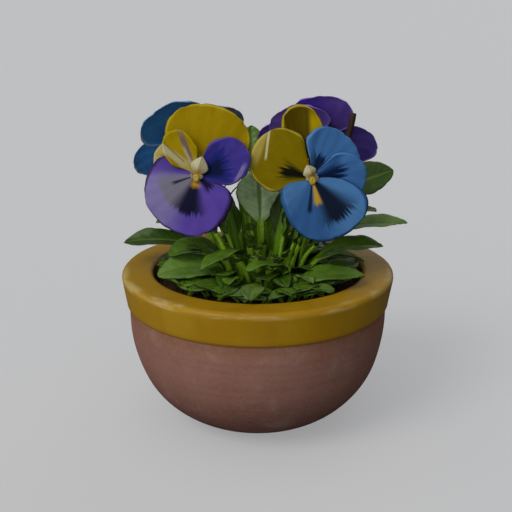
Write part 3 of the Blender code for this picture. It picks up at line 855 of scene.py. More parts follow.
YOUNG = {  # root (x, y), tip (x, y, z), blade width, arch, roll, share that is stalk, how light
    "young_1": ((-5, -26), (-14, -38, 110), 8, 4, 0, 0.72, 0.6),
    "young_2": ((-16, -22), (-26, -30, 128), 7, 4, -20, 0.78, 0.75),
    "young_3": ((2, -24), (-8, -27, 110), 7, 3, 10, 0.70, 0.5),
    "young_4": ((8, -28), (13, -34, 108), 8, 4, -15, 0.66, 0.25),
    "young_5": ((-22, -16), (-40, -28, 112), 9, 8, 0, 0.60, 0.35),
    "young_6": ((12, -14), (17, -16, 128), 7, 4, 30, 0.55, 0.6),
    "young_7": ((-12, -12), (-22, -16, 128), 8, 4, -25, 0.60, 0.75),
    "young_8": ((16, -20), (24, -24, 122), 9, 5, 20, 0.62, 0.5),
    "young_9": ((-4, -44), (-22, -56, 93), 9, 7, 0, 0.40, 0.25),
    "young_10": ((6, -46), (20, -57, 93), 10, 7, 0, 0.40, 0.35),
    "young_11": ((-24, -34), (-42, -40, 93), 9, 7, 0, 0.40, 0.6),
    "young_12": ((30, -36), (47, -36, 94), 10, 6, 0, 0.40, 0.75),
    "young_13": ((24, 2), (44, 6, 116), 12, 10, 0, 0.50, 0.5),
    "young_14": ((-26, -6), (-50, -4, 98), 12, 9, 0, 0.40, 0.25),
    "young_15": ((10, 8), (20, 12, 140), 12, 5, 15, 0.50, 0.35),
    "young_16": ((-14, 14), (-22, 22, 134), 12, 5, 0, 0.50, 0.6),
    "young_17": ((34, 10), (52, 20, 96), 12, 8, 0, 0.40, 0.75),
    "young_18": ((-30, 22), (-50, 30, 95), 12, 8, 0, 0.40, 0.5),
    "young_19": ((0, 42), (-4, 56, 94), 12, 8, 0, 0.40, 0.25),
    "young_20": ((10, 22), (24, 34, 116), 12, 8, 0, 0.50, 0.35),
    "young_21": ((-12, -38), (-16, -50, 98), 10, 8, 12, 0.40, 0.6),
    "young_22": ((18, -34), (30, -48, 98), 10, 8, -12, 0.40, 0.75),
    "young_23": ((0, -10), (-8, -13, 116), 6, 3, -30, 0.62, 0.5),
    "young_24": ((12, -10), (18, -14, 134), 8, 4, -10, 0.62, 0.25),
    "young_25": ((-34, -20), (-59, -3, 95), 17, 4, -6, 0.14, 0.55),
    "young_26": ((-30, -12), (-57, -17, 94), 17, 4, -6, 0.14, 0.7),
    "young_27": ((-25, -28), (-52, -27, 94), 16, 4, -6, 0.14, 0.6),
    "young_28": ((-20, -33), (-44, -38, 94), 15, 4, -6, 0.14, 0.7),
    "young_29": ((34, -20), (59, -4, 95), 17, 4, 6, 0.14, 0.5),
    "young_30": ((30, -30), (54, -17, 94), 16, 4, 6, 0.14, 0.65),
    "young_31": ((36, -6), (59, 10, 95), 16, 4, 6, 0.14, 0.5),
    "young_32": ((-47, -10), (-43, -41, 95), 15, 4, -8, 0.12, 0.65),
    "young_33": ((-38, -31), (-19, -56, 95), 14, 4, -8, 0.12, 0.55),
    "young_34": ((46, -8), (43, -41, 95), 15, 4, 8, 0.12, 0.6),
    "young_35": ((36, -33), (17, -57, 95), 14, 4, 8, 0.12, 0.55),
}
YOUNG_ROWS = 40
YOUNG_COLUMNS = 8
CROWN_STALKS = 40
LOW_LEAVES = 26
RIM_LEAVES = 28


def shaped(chance, widths, arches, most_roll, stalks, lights):
    """A leaf's width, arch, roll, share that is stalk and lightness, drawn in that order."""
    return (
        chance.randint(*widths), chance.uniform(*arches), chance.uniform(-most_roll, most_roll),
        chance.uniform(*stalks), chance.uniform(*lights),
    )


def crown_growth():
    """Upright stalks with small unopened blades, crowded at the heart of the plant."""
    chance = random.Random(5)
    grown = {}
    for number in range(CROWN_STALKS):
        round_from_x = 2.4 * number + chance.uniform(-0.3, 0.3)
        out = 26 * math.sqrt((number + 0.5) / CROWN_STALKS)
        x, y = out * math.cos(round_from_x), out * math.sin(round_from_x) - 3
        spread = chance.uniform(1.25, 1.7)
        front = y < -14
        low = front or (-22 < x < 14 and y < 4)
        tip = (x * spread, y * spread, chance.uniform(102, 112) if low else chance.uniform(114, 142))
        shape = shaped(chance, (6, 9), (2, 6), 40, (0.66, 0.82), (0.45, 0.85))
        grown[f"crown_{number + 1}"] = ((x, y), tip, *shape)
    return grown


def low_growth():
    """Small leaves that lie out over the soil and hide it."""
    chance = random.Random(8)
    grown = {}
    for number in range(LOW_LEAVES):
        round_from_x = 2 * math.pi * number / LOW_LEAVES + chance.uniform(-0.06, 0.06)
        start = chance.uniform(16, 26)
        end = (50, 57, 44)[number % 3] + chance.uniform(-1.5, 1.5)
        turn_x, turn_y = math.cos(round_from_x), math.sin(round_from_x)
        height = (95, 91, 98)[number % 3] + chance.uniform(-1, 1)
        shape = shaped(chance, (12, 19), (5, 8), 10, (0.18, 0.30), (0.1, 0.6))
        tip = (end * turn_x, end * turn_y, height)
        grown[f"low_{number + 1}"] = ((start * turn_x, start * turn_y), tip, *shape)
    return grown


def rim_growth():
    """Longer leaves that lie round the bowl, just inside its rim."""
    chance = random.Random(21)
    grown = {}
    for number in range(RIM_LEAVES):
        start = 2 * math.pi * number / RIM_LEAVES + chance.uniform(-0.08, 0.08)
        end = start + (-0.62, 0.62)[number % 2] + chance.uniform(-0.08, 0.08)
        root = (45 * math.cos(start), 45 * math.sin(start))
        tip = (59 * math.cos(end), 59 * math.sin(end), 93 + chance.uniform(-1, 1.5))
        shape = shaped(chance, (11, 14), (3, 5), 6, (0.14, 0.22), (0.2, 0.75))
        grown[f"rim_{number + 1}"] = (root, tip, *shape)
    return grown


for order, (leaf_name, leaf_spec) in enumerate(
    {**YOUNG, **crown_growth(), **low_growth(), **rim_growth()}.items()
):
    leaf_skin_of = leaf_skin(leaf_spec, 31.0 + order * 0.91)
    leaf = two_sided(leaf_name, YOUNG_ROWS, YOUNG_COLUMNS, leaf_skin_of, LEAF_UPPER, LEAF_LOWER)
    belongs(leaf, "leaf_green")

# ======================================================================================
# The flower stalks: one juicy ridged stalk to each bloom, which leans out, then hooks over
# just behind the cup. A pair of small narrow scales clasps each stalk half way up.

BLOOMS = {  # middle, direction faced (round from +X, up), root on the soil
    "left": ((-33, -30, 154.5), (-97, 14), (-9, -12)),
    "right": ((29.5, -28, 152.5), (-82, 14), (9, -10)),
    "back_right": ((36, 24, 164.5), (84, 32), (13, 13)),
    "back_left": ((-41, 20, 163.5), (108, 30), (-12, 13)),
}
STALK_RADIUS = 1.9 * MM
STALK_RINGS = 60
STALK_SIDES = 20
STALK_RIDGES = 4
RIDGE_SHARE = 0.14
STALK_END_BEHIND = 0.0114
HOOK_REACH = 0.016
HOOK_RISE = 0.006
LEAN_RISE = 0.035
SCALE_HALF_WIDTH = 1.5
SCALE_LEAST = 0.15


def face_frame(middle, facing):
    """The bloom's own frame: +Z out of its face, +Y up in the face, +X to its viewer's right."""
    round_from_x, up_from_level = (math.radians(angle) for angle in facing)
    level = math.cos(up_from_level)
    out = Vector((level * math.cos(round_from_x), level * math.sin(round_from_x), math.sin(up_from_level)))
    right = Vector((0, 0, 1)).cross(out).normalized()
    made = Matrix((right, out.cross(right), out)).transposed().to_4x4()
    made.translation = Vector(middle) * MM
    return made


def stalk_spine(bloom):
    """The four corners of the curve that a flower stalk follows."""
    middle, facing, (root_x, root_y) = BLOOMS[bloom]
    face = face_frame(middle, facing)
    base = Vector((root_x, root_y, 0)) * MM
    base.z = soil_height(base.xy.length) + GAP
    out = face.to_3x3() @ Vector((0, 0, 1))
    end = face.translation - out * STALK_END_BEHIND
    behind = end - out * HOOK_REACH + Vector((0, 0, HOOK_RISE))
    return base, base.lerp(behind, 0.25) + Vector((0, 0, LEAN_RISE)), behind, end


def stalk_finish():
    finish = Finish("flower_stalk", roughness=0.45)
    place = finish.place()
    long_way = finish.cloud(finish.stretch(place, (420, 420, 30)), 1.0, 3.0)
    broad = finish.cloud(place, 40.0, 2.0)
    colour = finish.mix(finish.between(broad, 0.35, 0.65), LEAF_STALK, LEAF_BRIGHT)
    colour = finish.mix(finish.between(long_way, 0.4, 0.7, 0.0, 0.5), colour, LEAF_DEEP)
    finish.set("Base Color", colour)
    finish.set("Normal", finish.bump(long_way, 0.4, 0.0004))
    return finish.material


def ridged_stalk(name, corners, finish):
    """A solid stalk along a curve, with ridges down its length, that thins towards its end."""
    made = bmesh.new()
    rings = []
    across = Vector((1, 0, 0))
    for ring in range(STALK_RINGS + 1):
        share = ring / STALK_RINGS
        middle = bezier(corners, share)
        along = heading_of(corners, share)
        across = (across - along * across.dot(along)).normalized()
        third = along.cross(across)
        rings.append([])
        for step in range(STALK_SIDES):
            angle = 2 * math.pi * step / STALK_SIDES
            ridge = 1 + RIDGE_SHARE * math.cos(STALK_RIDGES * angle)
            radius = STALK_RADIUS * ridge * (1.12 - 0.30 * share)
            offset = across * math.cos(angle) + third * math.sin(angle)
            rings[-1].append(made.verts.new(middle + offset * radius))
    for lower, upper in zip(rings, rings[1:]):
        for step in range(STALK_SIDES):
            after = (step + 1) % STALK_SIDES
            made.faces.new((lower[step], lower[after], upper[after], upper[step]))
    made.faces.new(list(reversed(rings[0])))
    made.faces.new(rings[-1])
    bmesh.ops.recalc_face_normals(made, faces=made.faces)
    return piece(name, smooth_mesh(name, made), finish)


def make_scales(bloom):
    """Two narrow leafy scales, which leave the stalk opposite each other."""
    corners = stalk_spine(bloom)
    foot = bezier(corners, 0.42)
    for number, lean in enumerate((-1, 1)):
        def skin(across, share, lean=lean):
            point = math.sin(math.pi * min(1.0, share * 0.92 + 0.08)) ** 0.8
            width = MM * max(SCALE_LEAST, SCALE_HALF_WIDTH * point)
            bend = Vector((lean * (1.2 + 6.5 * share), -1.0, 13 * share - 4 * share * share)) * MM
            middle = foot + bend + Vector((0, width * across, abs(across) * 0.5 * MM))
            lift = Vector((-lean * 0.18 * MM, 0, 0.18 * MM))
            return middle + lift, middle - lift, Vector((across, 0.3 + 0.6 * share, 5.0 + number))
        scale = two_sided(f"{bloom}_scale_{number + 1}", 16, 6, skin, LEAF_UPPER, LEAF_LOWER)
        belongs(scale, "leaf_green")


STALK_FINISH = stalk_finish()
for bloom_name in BLOOMS:
    stalk = ridged_stalk(bloom_name + "_stalk", stalk_spine(bloom_name), STALK_FINISH)
    belongs(stalk, "stem_green", f"bloom_{bloom_name}_stem")
    make_scales(bloom_name)

# ======================================================================================
# A spent stalk: the dried brown stalk of a flower that has dropped, still standing in the
# clump. It leans out between the two right-hand blooms and ends bluntly above them.

SPENT_CORNERS = ((20, 4), (28, 6, 128), (51, 5, 150), (54.5, 2.5, 183))
SPENT_BROWN = (0.050, 0.032, 0.020)
SPENT_RUST = (0.115, 0.045, 0.012)
SPENT_GREY = (0.060, 0.048, 0.042)


def spent_finish():
    finish = Finish("spent_stalk", roughness=0.8)
    place = finish.place()
    fibre = finish.cloud(finish.stretch(place, (520, 520, 36)), 1.0, 4.0)
    broad = finish.cloud(place, 55.0, 2.0)
    colour = finish.mix(finish.between(broad, 0.38, 0.62), SPENT_BROWN, SPENT_GREY)
    colour = finish.mix(finish.between(fibre, 0.45, 0.7, 0.0, 0.7), colour, SPENT_RUST)
    finish.set("Base Color", colour)
    finish.set("Specular IOR Level", 0.15)
    finish.set("Normal", finish.bump(fibre, 0.6, 0.0006))
    return finish.material


(spent_x, spent_y), *spent_rest = SPENT_CORNERS
spent_root = Vector((spent_x, spent_y, 0)) * MM
spent_root.z = soil_height(spent_root.xy.length) + GAP
spent_spine = (spent_root, *(Vector(corner) * MM for corner in spent_rest))
belongs(ridged_stalk("spent_stalk", spent_spine, spent_finish()), "stem_green")

# ======================================================================================
# The petals: five to a bloom, thin as paper and soft as velvet, with fluttered, rolled
# edges. Each is stained from the throat outwards: a dark blotch that frays into whiskers.

PETALS = {
    # angle round the face, length, width, fold, curl, tilt, forward, how far the right and left
    # lobes rise beside the throat, share of the width that the claw has, and the finish
    "left": {
        "petal_top": (79, 36, 49, -16, 8, -4, -2.2, (0, 0), 0.34, "gold"),
        "petal_top_folded": (124, 25, 19, 110, 0, 10, 0.2, (0, 0), 0.34, "gold_folded"),
        "petal_side_left": (154, 25, 23, 0, 0, 0, -5.4, (0, 0), 0.34, "gold_pale"),
        "petal_side_right": (27, 28, 26, 25, -10, 6, 0.2, (0, 0), 0.62, "violet_side"),
        "petal_lip": (242, 31, 51, -20, -34, 14, 1.2, (0.45, 0.52), 1.0, "violet_lip"),
    },
    "right": {
        "petal_top_folded": (98, 38, 26, 86, 0, -2, -5.4, (0, 0), 0.34, "gold_hollow"),
        "petal_top": (45, 28, 35, 12, -6, 0, -0.2, (0, 0), 0.34, "blue_top"),
        "petal_side_left": (149, 33, 36, 12, -12, 4, -0.4, (0, 0), 0.5, "gold_side"),
        "petal_side_right": (3, 28, 25, 14, -10, 6, 0.8, (0, 0), 0.5, "blue_side"),
        "petal_lip": (291, 33, 45, 40, -12, 20, 2.2, (-0.12, 0.40), 1.0, "blue_lip"),
    },
    "back_right": {
        "petal_top_left": (96, 36, 38, -20, -8, -2, -1.8, (0, 0), 0.34, "violet_back"),
        "petal_top_right": (60, 33, 38, -20, -8, -4, -3.6, (0, 0), 0.34, "violet_back_pale"),
        "petal_side_left": (192, 33, 30, 20, -12, 4, -0.4, (0, 0), 0.34, "violet_back_deep"),
        "petal_side_right": (4, 33, 25, 20, -12, 4, -0.4, (0, 0), 0.34, "violet_back"),
        "petal_lip": (270, 30, 40, 20, -30, 14, 1.2, (0.45, 0.45), 1.0, "violet_back"),
    },
    "back_left": {
        "petal_top_left": (130, 35, 32, -20, -8, -2, -3.8, (0, 0), 0.34, "mauve_back"),
        "petal_top_right": (58, 37, 43, -20, -8, -4, -1.8, (0, 0), 0.34, "blue_back"),
        "petal_side_left": (196, 30, 28, 20, -12, 4, -0.4, (0, 0), 0.34, "mauve_back"),
        "petal_side_right": (-29, 33, 28, 20, -12, 4, -0.4, (0, 0), 0.34, "blue_back"),
        "petal_lip": (270, 30, 40, 20, -30, 14, 1.2, (0.45, 0.45), 1.0, "blue_back"),
    },
}
PETAL_ROWS = 56
PETAL_COLUMNS = 44
PETAL_DEPTH = 0.28 * MM
PETAL_STANDOFF = 0.0034
PETAL_UNIT = 35 * MM
LOBE_ROUNDNESS = 1.35
CLAW_TUCK = 2.8 * MM


def petal_point(across, along, length, width, fold, curl, lobes, claw_width):
    """A point of a petal that lies along +Y from its claw, and how far it is along and across."""
    round_x = across * math.sqrt(1 - along * along / 2)
    round_y = along * math.sqrt(1 - across * across / 2)
    reach = (round_y + 1) / 2
    claw = claw_width + (1 - claw_width) * smooth_step(0.0, 0.42, reach)
    side = width / 2 * round_x * claw
    reach -= lobes[round_x > 0] * abs(round_x) ** LOBE_ROUNDNESS * (1 - reach)
    flat = Vector((side, reach * length, 0))
    lift = 0.0
    if abs(fold) > 1:
        radius = width / math.radians(fold)
        fold_angle = math.radians(fold) / 2 * side / (width / 2)
        side = radius * math.sin(fold_angle)
        lift = radius * (1 - math.cos(fold_angle))
    if abs(curl) <= 1:
        return Vector((side, reach * length, lift)), flat
    bend = length / math.radians(curl)
    angle = reach * length / bend
    along_bend = bend * math.sin(angle) - lift * math.sin(angle)
    return Vector((side, along_bend, bend * (1 - math.cos(angle)) + lift * math.cos(angle))), flat


def petal_skin(spec, face, seed):
    angle, length, width, fold, curl, tilt, forward, lobes, claw_width, _ = spec
    length *= MM
    width *= MM
    turn_round = Matrix.Rotation(math.radians(angle - 90), 4, "Z")
    stand_off = Matrix.Translation((0, PETAL_STANDOFF, forward * MM))
    place = face @ turn_round @ stand_off @ Matrix.Rotation(math.radians(tilt), 4, "X")

    def surface(across, along):
        return petal_point(across, along, length, width, fold, curl, lobes, claw_width)[0]

    def skin(across, share):
        along = share * 2 - 1
        middle, flat = petal_point(across, along, length, width, fold, curl, lobes, claw_width)
        step = 0.02
        right = surface(min(1, across + step), along) - surface(max(-1, across - step), along)
        ahead = surface(across, min(1, along + step)) - surface(across, max(-1, along - step))
        up = right.cross(ahead)
        up = up.normalized() if up.length > 1e-12 else Vector((0, 0, 1))
        rim = max(abs(across), along)
        edge = smooth_step(0.55, 1.0, rim)
        tuck = CLAW_TUCK * max(0.0, 1 - max(0.0, flat.y) / length) ** 3
        middle.y -= tuck
        flat.y -= tuck
        polar = math.atan2(flat.x, flat.y + 5 * MM)
        flutter = noise.noise(Vector((polar * 2.6, seed, rim * 0.4))) * 2.0 * MM * edge
        flutter += noise.noise(Vector((polar * 7.5, seed + 9, rim * 0.8))) * 0.75 * MM * edge
        pleat = math.cos(polar * 26 + seed) * 0.10 * MM * smooth_step(0.1, 0.5, share) * (1 - edge)
        rolled = 1.1 * MM * smooth_step(0.86, 1.0, rim) ** 2
        notch = noise.noise(Vector((polar * 9.0, seed + 3, 0))) * 0.9 * MM * smooth_step(0.8, 1.0, rim)
        inward = Vector((-middle.x, length * 0.35 - middle.y, 0)).normalized() * max(0.0, notch)
        middle = middle + up * (flutter + pleat - rolled) + inward
        top = place @ (middle + up * PETAL_DEPTH)
        bottom = place @ (middle - up * PETAL_DEPTH)
        out_from_throat = flat.y + PETAL_STANDOFF
        return top, bottom, Vector((flat.x / PETAL_UNIT, out_from_throat / PETAL_UNIT, rim))

    return skin


class Stain:
    """Where a petal's finish is worked out: distance and angle from the throat, in petal lengths."""

    def __init__(self, finish, seed):
        self.finish = finish
        self.seed = seed
        lay = finish.node("Attribute", attribute_name="lay").outputs["Vector"]
        self.side, self.ahead, self.rim = finish.split(lay)
        flat = finish.join(self.side, self.ahead)
        self.reach = finish.node("VectorMath", {0: flat}, operation="LENGTH").outputs["Value"]
        self.angle = finish.maths("ARCTAN2", self.side, self.ahead)
        self.fray = finish.cloud(self.rays(15.0, 1.2), 1.0, 3.0)
        self.nerves = finish.cloud(self.rays(34.0, 1.6), 1.0, 2.0, 0.5)
        self.broad = finish.cloud(finish.join(self.side, self.ahead, seed), 3.0, 3.0)

    def rays(self, around, outward):
        finish = self.finish
        across = finish.times(self.angle, around)
        return finish.join(across, finish.times(self.reach, outward), self.seed)

    def wedge(self, centre, half, soft=0.12):
        """1 within half a turn's share of the centre angle (radians), 0 beyond."""
        off = self.finish.unsigned(self.finish.less(self.angle, centre))
        off = self.finish.maths("ADD", off, self.finish.times(self.fray, 0.10))
        return self.finish.between(off, half - soft + 0.05, half + soft + 0.05, 1.0, 0.0)

    def streak(self, start, end, half):
        """1 along a straight line between two flat points (mm across, mm out), tapering to its ends."""
        finish = self.finish
        first = Vector(start) * MM / PETAL_UNIT
        run = Vector(end) * MM / PETAL_UNIT - first
        half *= MM / PETAL_UNIT
        along = run.normalized()
        from_side = finish.less(self.side, first.x)
        from_ahead = finish.less(self.ahead, first.y)
        travel = finish.maths(
            "ADD", finish.times(from_side, along.x), finish.times(from_ahead, along.y)
        )
        off = finish.less(
            finish.times(from_side, along.y), finish.times(from_ahead, along.x)
        )
        beside = finish.between(finish.unsigned(off), half * 0.5, half * 1.3, 1.0, 0.0)
        past = finish.between(travel, -half * 2, half * 2)
        before = finish.between(travel, run.length - half * 2, run.length + half * 2, 1.0, 0.0)
        return finish.times(beside, finish.times(past, before))

    def within(self, reach, ragged=0.25, soft=0.05):
        """1 from the throat out to reach, with a frayed edge."""
        finish = self.finish
        shift = finish.times(finish.less(self.fray, 0.5), ragged * 2)
        frayed = finish.less(self.reach, shift)
        return finish.between(frayed, reach - soft, reach + soft, 1.0, 0.0)


def petal_finish(name, seed, main, shade, rim, throat=None, patches=(), streaks=(), axis=0.0, rim_from=0.9):
    """
    main and shade cloud together, rim tints the edge and throat the eye. Each patch is
    (colour, centre angle, half angle, outward reach, raggedness, strength), or with an
    inner reach as a seventh value where the patch starts away from the throat.
    """
    finish = Finish(name, roughness=0.6)
    finish.set("Specular IOR Level", 0.04)
    stain = Stain(finish, seed)
    colour = finish.mix(finish.between(stain.broad, 0.25, 0.75), main, shade)
    dark = [part * 0.6 for part in main]
    colour = finish.mix(finish.between(stain.nerves, 0.5, 0.75, 0.0, 0.25), colour, dark)
    for patch in patches:
        tint, centre, half, reach, ragged, strength = patch[:6]
        turned = math.radians(axis - centre)
        wedge = stain.wedge(turned, math.radians(half), min(0.3, math.radians(half) * 0.6))
        mask = finish.times(wedge, stain.within(reach, ragged))
        if len(patch) > 6:
            mask = finish.times(mask, finish.less(1.0, stain.within(patch[6], ragged)))
        colour = finish.mix(finish.times(mask, strength), colour, tint)
    colour = finish.mix(finish.between(stain.rim, rim_from, rim_from / 2 + 0.5, 0.0, 0.85), colour, rim)
    for tint, start, end, half, strength in streaks:
        colour = finish.mix(finish.times(stain.streak(start, end, half), strength), colour, tint)
    if throat:
        tint, reach = throat
        colour = finish.mix(stain.within(reach, 0.06, 0.03), colour, tint)
    finish.set("Base Color", colour)
    pile = finish.cloud(finish.place(), 1500.0, 2.0)
    relief = finish.bump(stain.nerves, 0.30, 0.0005)
    relief = finish.bump(pile, 0.10, 0.0001, relief)
    finish.set("Normal", relief)
    finish.set("Roughness", finish.between(stain.nerves, 0.3, 0.7, 0.52, 0.68))
    return finish.material


GOLD = (0.47, 0.335, 0.002)
GOLD_PALE = (0.60, 0.50, 0.13)
CREAM = (0.62, 0.56, 0.30)
VIOLET = (0.135, 0.080, 0.46)
VIOLET_DEEP = (0.095, 0.055, 0.34)
LAVENDER = (0.26, 0.22, 0.46)
SILVER = (0.21, 0.205, 0.25)
PLUM_EDGE_SHADE = (0.055, 0.022, 0.12)
NAVY = (0.004, 0.010, 0.045)
INK = (0.005, 0.008, 0.022)
BLUE = (0.060, 0.185, 0.44)
BLUE_DEEP = (0.025, 0.095, 0.28)
BLUE_EDGE_HIGHLIGHT = (0.13, 0.32, 0.62)
ORANGE = (0.60, 0.36, 0.012)
SOOT = (0.004, 0.005, 0.004)
MAUVE = (0.20, 0.13, 0.15)

PETAL_FINISHES = {  # patch: colour, middle and half of its angle on the face, reach, fray, strength
    # Painted light: the gold top petal is paler near its claw, where the folded petal shades it.
    "gold": petal_finish(
        "petal_gold", 1.0, (0.405, 0.275, 0.001), (0.375, 0.252, 0.001), (0.55, 0.44, 0.03), None,
        [(GOLD_PALE, 79, 80, 0.32, 0.10, 0.75)], axis=79),
    # Painted highlight and shade: the cream streak and the dark one beside it follow the fold of the folded
    # gold petal.
    "gold_folded": petal_finish(
        "petal_gold_folded", 2.0, GOLD, (0.42, 0.29, 0.002), GOLD, None,
        [(GOLD_PALE, 124, 60, 0.30, 0.10, 0.5)],
        [(CREAM, (-9.5, 27), (-2.5, 9), 2.4, 0.95), ((0.24, 0.17, 0.02), (-6.0, 25), (-2.0, 10), 0.5, 0.7),
         (MAUVE, (5.5, 24), (1.2, 8), 2.0, 0.9), (CREAM, (2.2, 17), (0, 4), 1.0, 0.6)], axis=124),
    "gold_pale": petal_finish(
        "petal_gold_pale", 3.0, (0.50, 0.39, 0.06), (0.60, 0.50, 0.18), CREAM, None,
        [(CREAM, 172, 12, 0.9, 0.05, 0.8)], [((0.20, 0.16, 0.02), (0, 24), (0.5, 10), 0.6, 0.8)], axis=154),
    # Painted shade: the inside of the folded top petal is a dark olive, with the petal's own gold in streaks
    # along its lit edges.
    "gold_hollow": petal_finish(
        "petal_gold_hollow", 4.0, (0.090, 0.062, 0.001), (0.115, 0.080, 0.001), (0.56, 0.46, 0.03), None,
        [((0.11, 0.068, 0.002), 104, 12, 0.80, 0.12, 0.8)],
        [(GOLD, (9.5, 36), (6.5, 14), 3.6, 0.95), (GOLD, (-10.5, 36), (-9.0, 16), 1.1, 0.6)], axis=98),
    # Painted highlight: the near-white streak runs along a fold of the gold side petal.
    "gold_side": petal_finish(
        "petal_gold_side", 5.0, (0.235, 0.172, 0.001), (0.270, 0.195, 0.001), (0.60, 0.47, 0.06),
        (ORANGE, 0.06), [(SOOT, 163, 17, 0.48, 0.30, 0.98)],
        [((0.72, 0.66, 0.42), (11.2, 33), (-3.5, 27.2), 0.7, 0.85),
         (GOLD_PALE, (13, 36), (-8, 32), 2.6, 0.6)], axis=149),
    # Painted highlight: the pale lavender streak and the paler edge along the right of the violet side petal.
    "violet_side": petal_finish(
        "petal_violet_side", 6.0, (0.052, 0.038, 0.285), (0.070, 0.050, 0.34), (0.17, 0.11, 0.42),
        (CREAM, 0.05), [((0.012, 0.022, 0.20), 20, 40, 0.56, 0.22, 0.85), (NAVY, 18, 23, 0.45, 0.26, 0.96)],
        [((0.30, 0.25, 0.50), (6.5, 26), (12.5, 18), 1.3, 0.7)], axis=27),
    # Painted shade: the plum edge darkens the rolled-back margin of the lip.
    "violet_lip": petal_finish(
        "petal_violet_lip", 7.0, VIOLET, (0.115, 0.068, 0.41), PLUM_EDGE_SHADE, None,
        [(LAVENDER, 208, 35, 0.98, 0.03, 0.92), (SILVER, 212, 31, 0.62, 0.10, 0.9),
         (VIOLET_DEEP, 163, 14, 1.0, 0.10, 0.8), (INK, 257, 23, 0.62, 0.22, 0.97),
         (INK, 318, 16, 0.30, 0.10, 0.95), (SOOT, 200, 4, 0.40, 0.03, 0.9),
         (ORANGE, 264, 24, 0.19, 0.05, 0.95)], axis=242, rim_from=0.88),
    # Painted highlight: the top and side blue petals of the right bloom have pale edges.
    "blue_top": petal_finish(
        "petal_blue_top", 8.0, BLUE, (0.055, 0.175, 0.43), (0.12, 0.30, 0.58), (CREAM, 0.05),
        [(NAVY, 64, 20, 0.40, 0.24, 0.97)], axis=45),
    "blue_side": petal_finish(
        "petal_blue_side", 9.0, BLUE, (0.052, 0.165, 0.42), BLUE_EDGE_HIGHLIGHT, (CREAM, 0.05),
        [((0.012, 0.055, 0.20), 4, 34, 0.54, 0.22, 0.7), (NAVY, 4, 22, 0.47, 0.28, 0.98)], axis=3),
    "blue_lip": petal_finish(
        "petal_blue_lip", 10.0, (0.080, 0.220, 0.48), (0.065, 0.190, 0.42), (0.022, 0.085, 0.22), None,
        [(BLUE_DEEP, 262, 28, 1.05, 0.1, 0.75), (INK, 303, 21, 0.80, 0.24, 0.98),
         (SOOT, 262, 4, 0.56, 0.05, 0.9), (ORANGE, 279, 8, 0.44, 0.06, 0.95)], axis=291),
}
# Painted light and shade: the blooms seen from behind are coloured lighter than the front ones to stand in
# for light on their shaded backs. The paler and deeper violets are lit and shaded copies of one violet, and
# most of the rims, paler than their petals, are painted highlights.
BACK_PETALS = {  # seed, main, shade and rim
    "violet_back": (11.0, (0.205, 0.115, 0.64), (0.180, 0.100, 0.58), (0.36, 0.22, 0.80)),
    "violet_back_pale": (14.0, (0.34, 0.20, 0.92), (0.30, 0.17, 0.84), (0.40, 0.25, 0.90)),
    "violet_back_deep": (15.0, (0.125, 0.078, 0.44), (0.105, 0.066, 0.38), (0.22, 0.14, 0.58)),
    "mauve_back": (12.0, (0.36, 0.24, 0.27), (0.16, 0.24, 0.55), (0.15, 0.28, 0.5)),
    "blue_back": (13.0, (0.075, 0.30, 0.78), (0.045, 0.21, 0.62), (0.34, 0.50, 0.85)),
}
BACK_THROAT = (ORANGE, 0.12)
BACK_PATCHES = [(INK, 0, 32, 0.46, 0.20, 0.9)]
for back_name, back_look in BACK_PETALS.items():
    PETAL_FINISHES[back_name] = petal_finish("petal_" + back_name, *back_look, BACK_THROAT, BACK_PATCHES)
PETAL_SLOTS = {
    "gold": "petal_yellow", "violet": "petal_purple", "mauve": "petal_purple", "blue": "petal_blue",
}

for order, (bloom_name, petals) in enumerate(PETALS.items()):
    bloom_face = face_frame(*BLOOMS[bloom_name][:2])
    for number, (petal_name, petal_spec) in enumerate(petals.items()):
        petal_look = PETAL_FINISHES[petal_spec[-1]]
        petal_skin_of = petal_skin(petal_spec, bloom_face, 3.1 * order + 1.7 * number)
        petal = two_sided(
            f"{bloom_name}_{petal_name}", PETAL_ROWS, PETAL_COLUMNS, petal_skin_of, petal_look, petal_look
        )
        petal_slot = PETAL_SLOTS[petal_spec[-1].split("_")[0]]
        belongs(petal, petal_slot, f"bloom_{bloom_name}_{petal_name}")

# ======================================================================================
# The cups: five pointed green sepals in a funnel that holds the petals' claws, with a
# blunt spur behind.

CUP_SEPALS = 5
CUP_ROWS = 20
CUP_COLUMNS = 60
CUP_RINGS = ((0.0018, -0.0106), (0.0030, -0.0082), (0.0034, -0.0070))
SEPAL_HOLLOW = (0.0042, -0.0068)
SEPAL_POINT = (0.0058, -0.0012)
SEPAL_HALF_DEPTH = 0.3 * MM


def cup_skin(face):
    """A funnel through the rings, radius and depth, that ends in the sepals' points."""

    def skin(across, share):
        angle = math.pi * across
        point = abs(math.cos(CUP_SEPALS * angle / 2)) ** 1.5
        stops = (*CUP_RINGS, [hollow + more * point for hollow, more in zip(SEPAL_HOLLOW, SEPAL_POINT)])
        run = share * (len(stops) - 1)
        index = min(len(stops) - 2, int(run))
        first, last = stops[index], stops[index + 1]
        radius, depth = (start + (end - start) * (run - index) for start, end in zip(first, last))
        up = Vector((-math.cos(angle), -math.sin(angle), 1)).normalized() * SEPAL_HALF_DEPTH
        middle = Vector((radius * math.cos(angle), radius * math.sin(angle), depth))
        return face @ (middle + up), face @ (middle - up), Vector((0.5, 0.4 + 0.5 * share, 2.0))

    return skin


for bloom_name in BLOOMS:
    bloom_face = face_frame(*BLOOMS[bloom_name][:2])
    cup_skin_of = cup_skin(bloom_face)
    cup = two_sided(bloom_name + "_cup", CUP_ROWS, CUP_COLUMNS, cup_skin_of, LEAF_UPPER, LEAF_LOWER, True)
    belongs(cup, "leaf_green", f"bloom_{bloom_name}_calyx")

# ======================================================================================
# The eyes: a round, sticky orange stigma under a folded cream crest, with a beard of short
# cream hairs on each side, which guards the throat of the bloom.

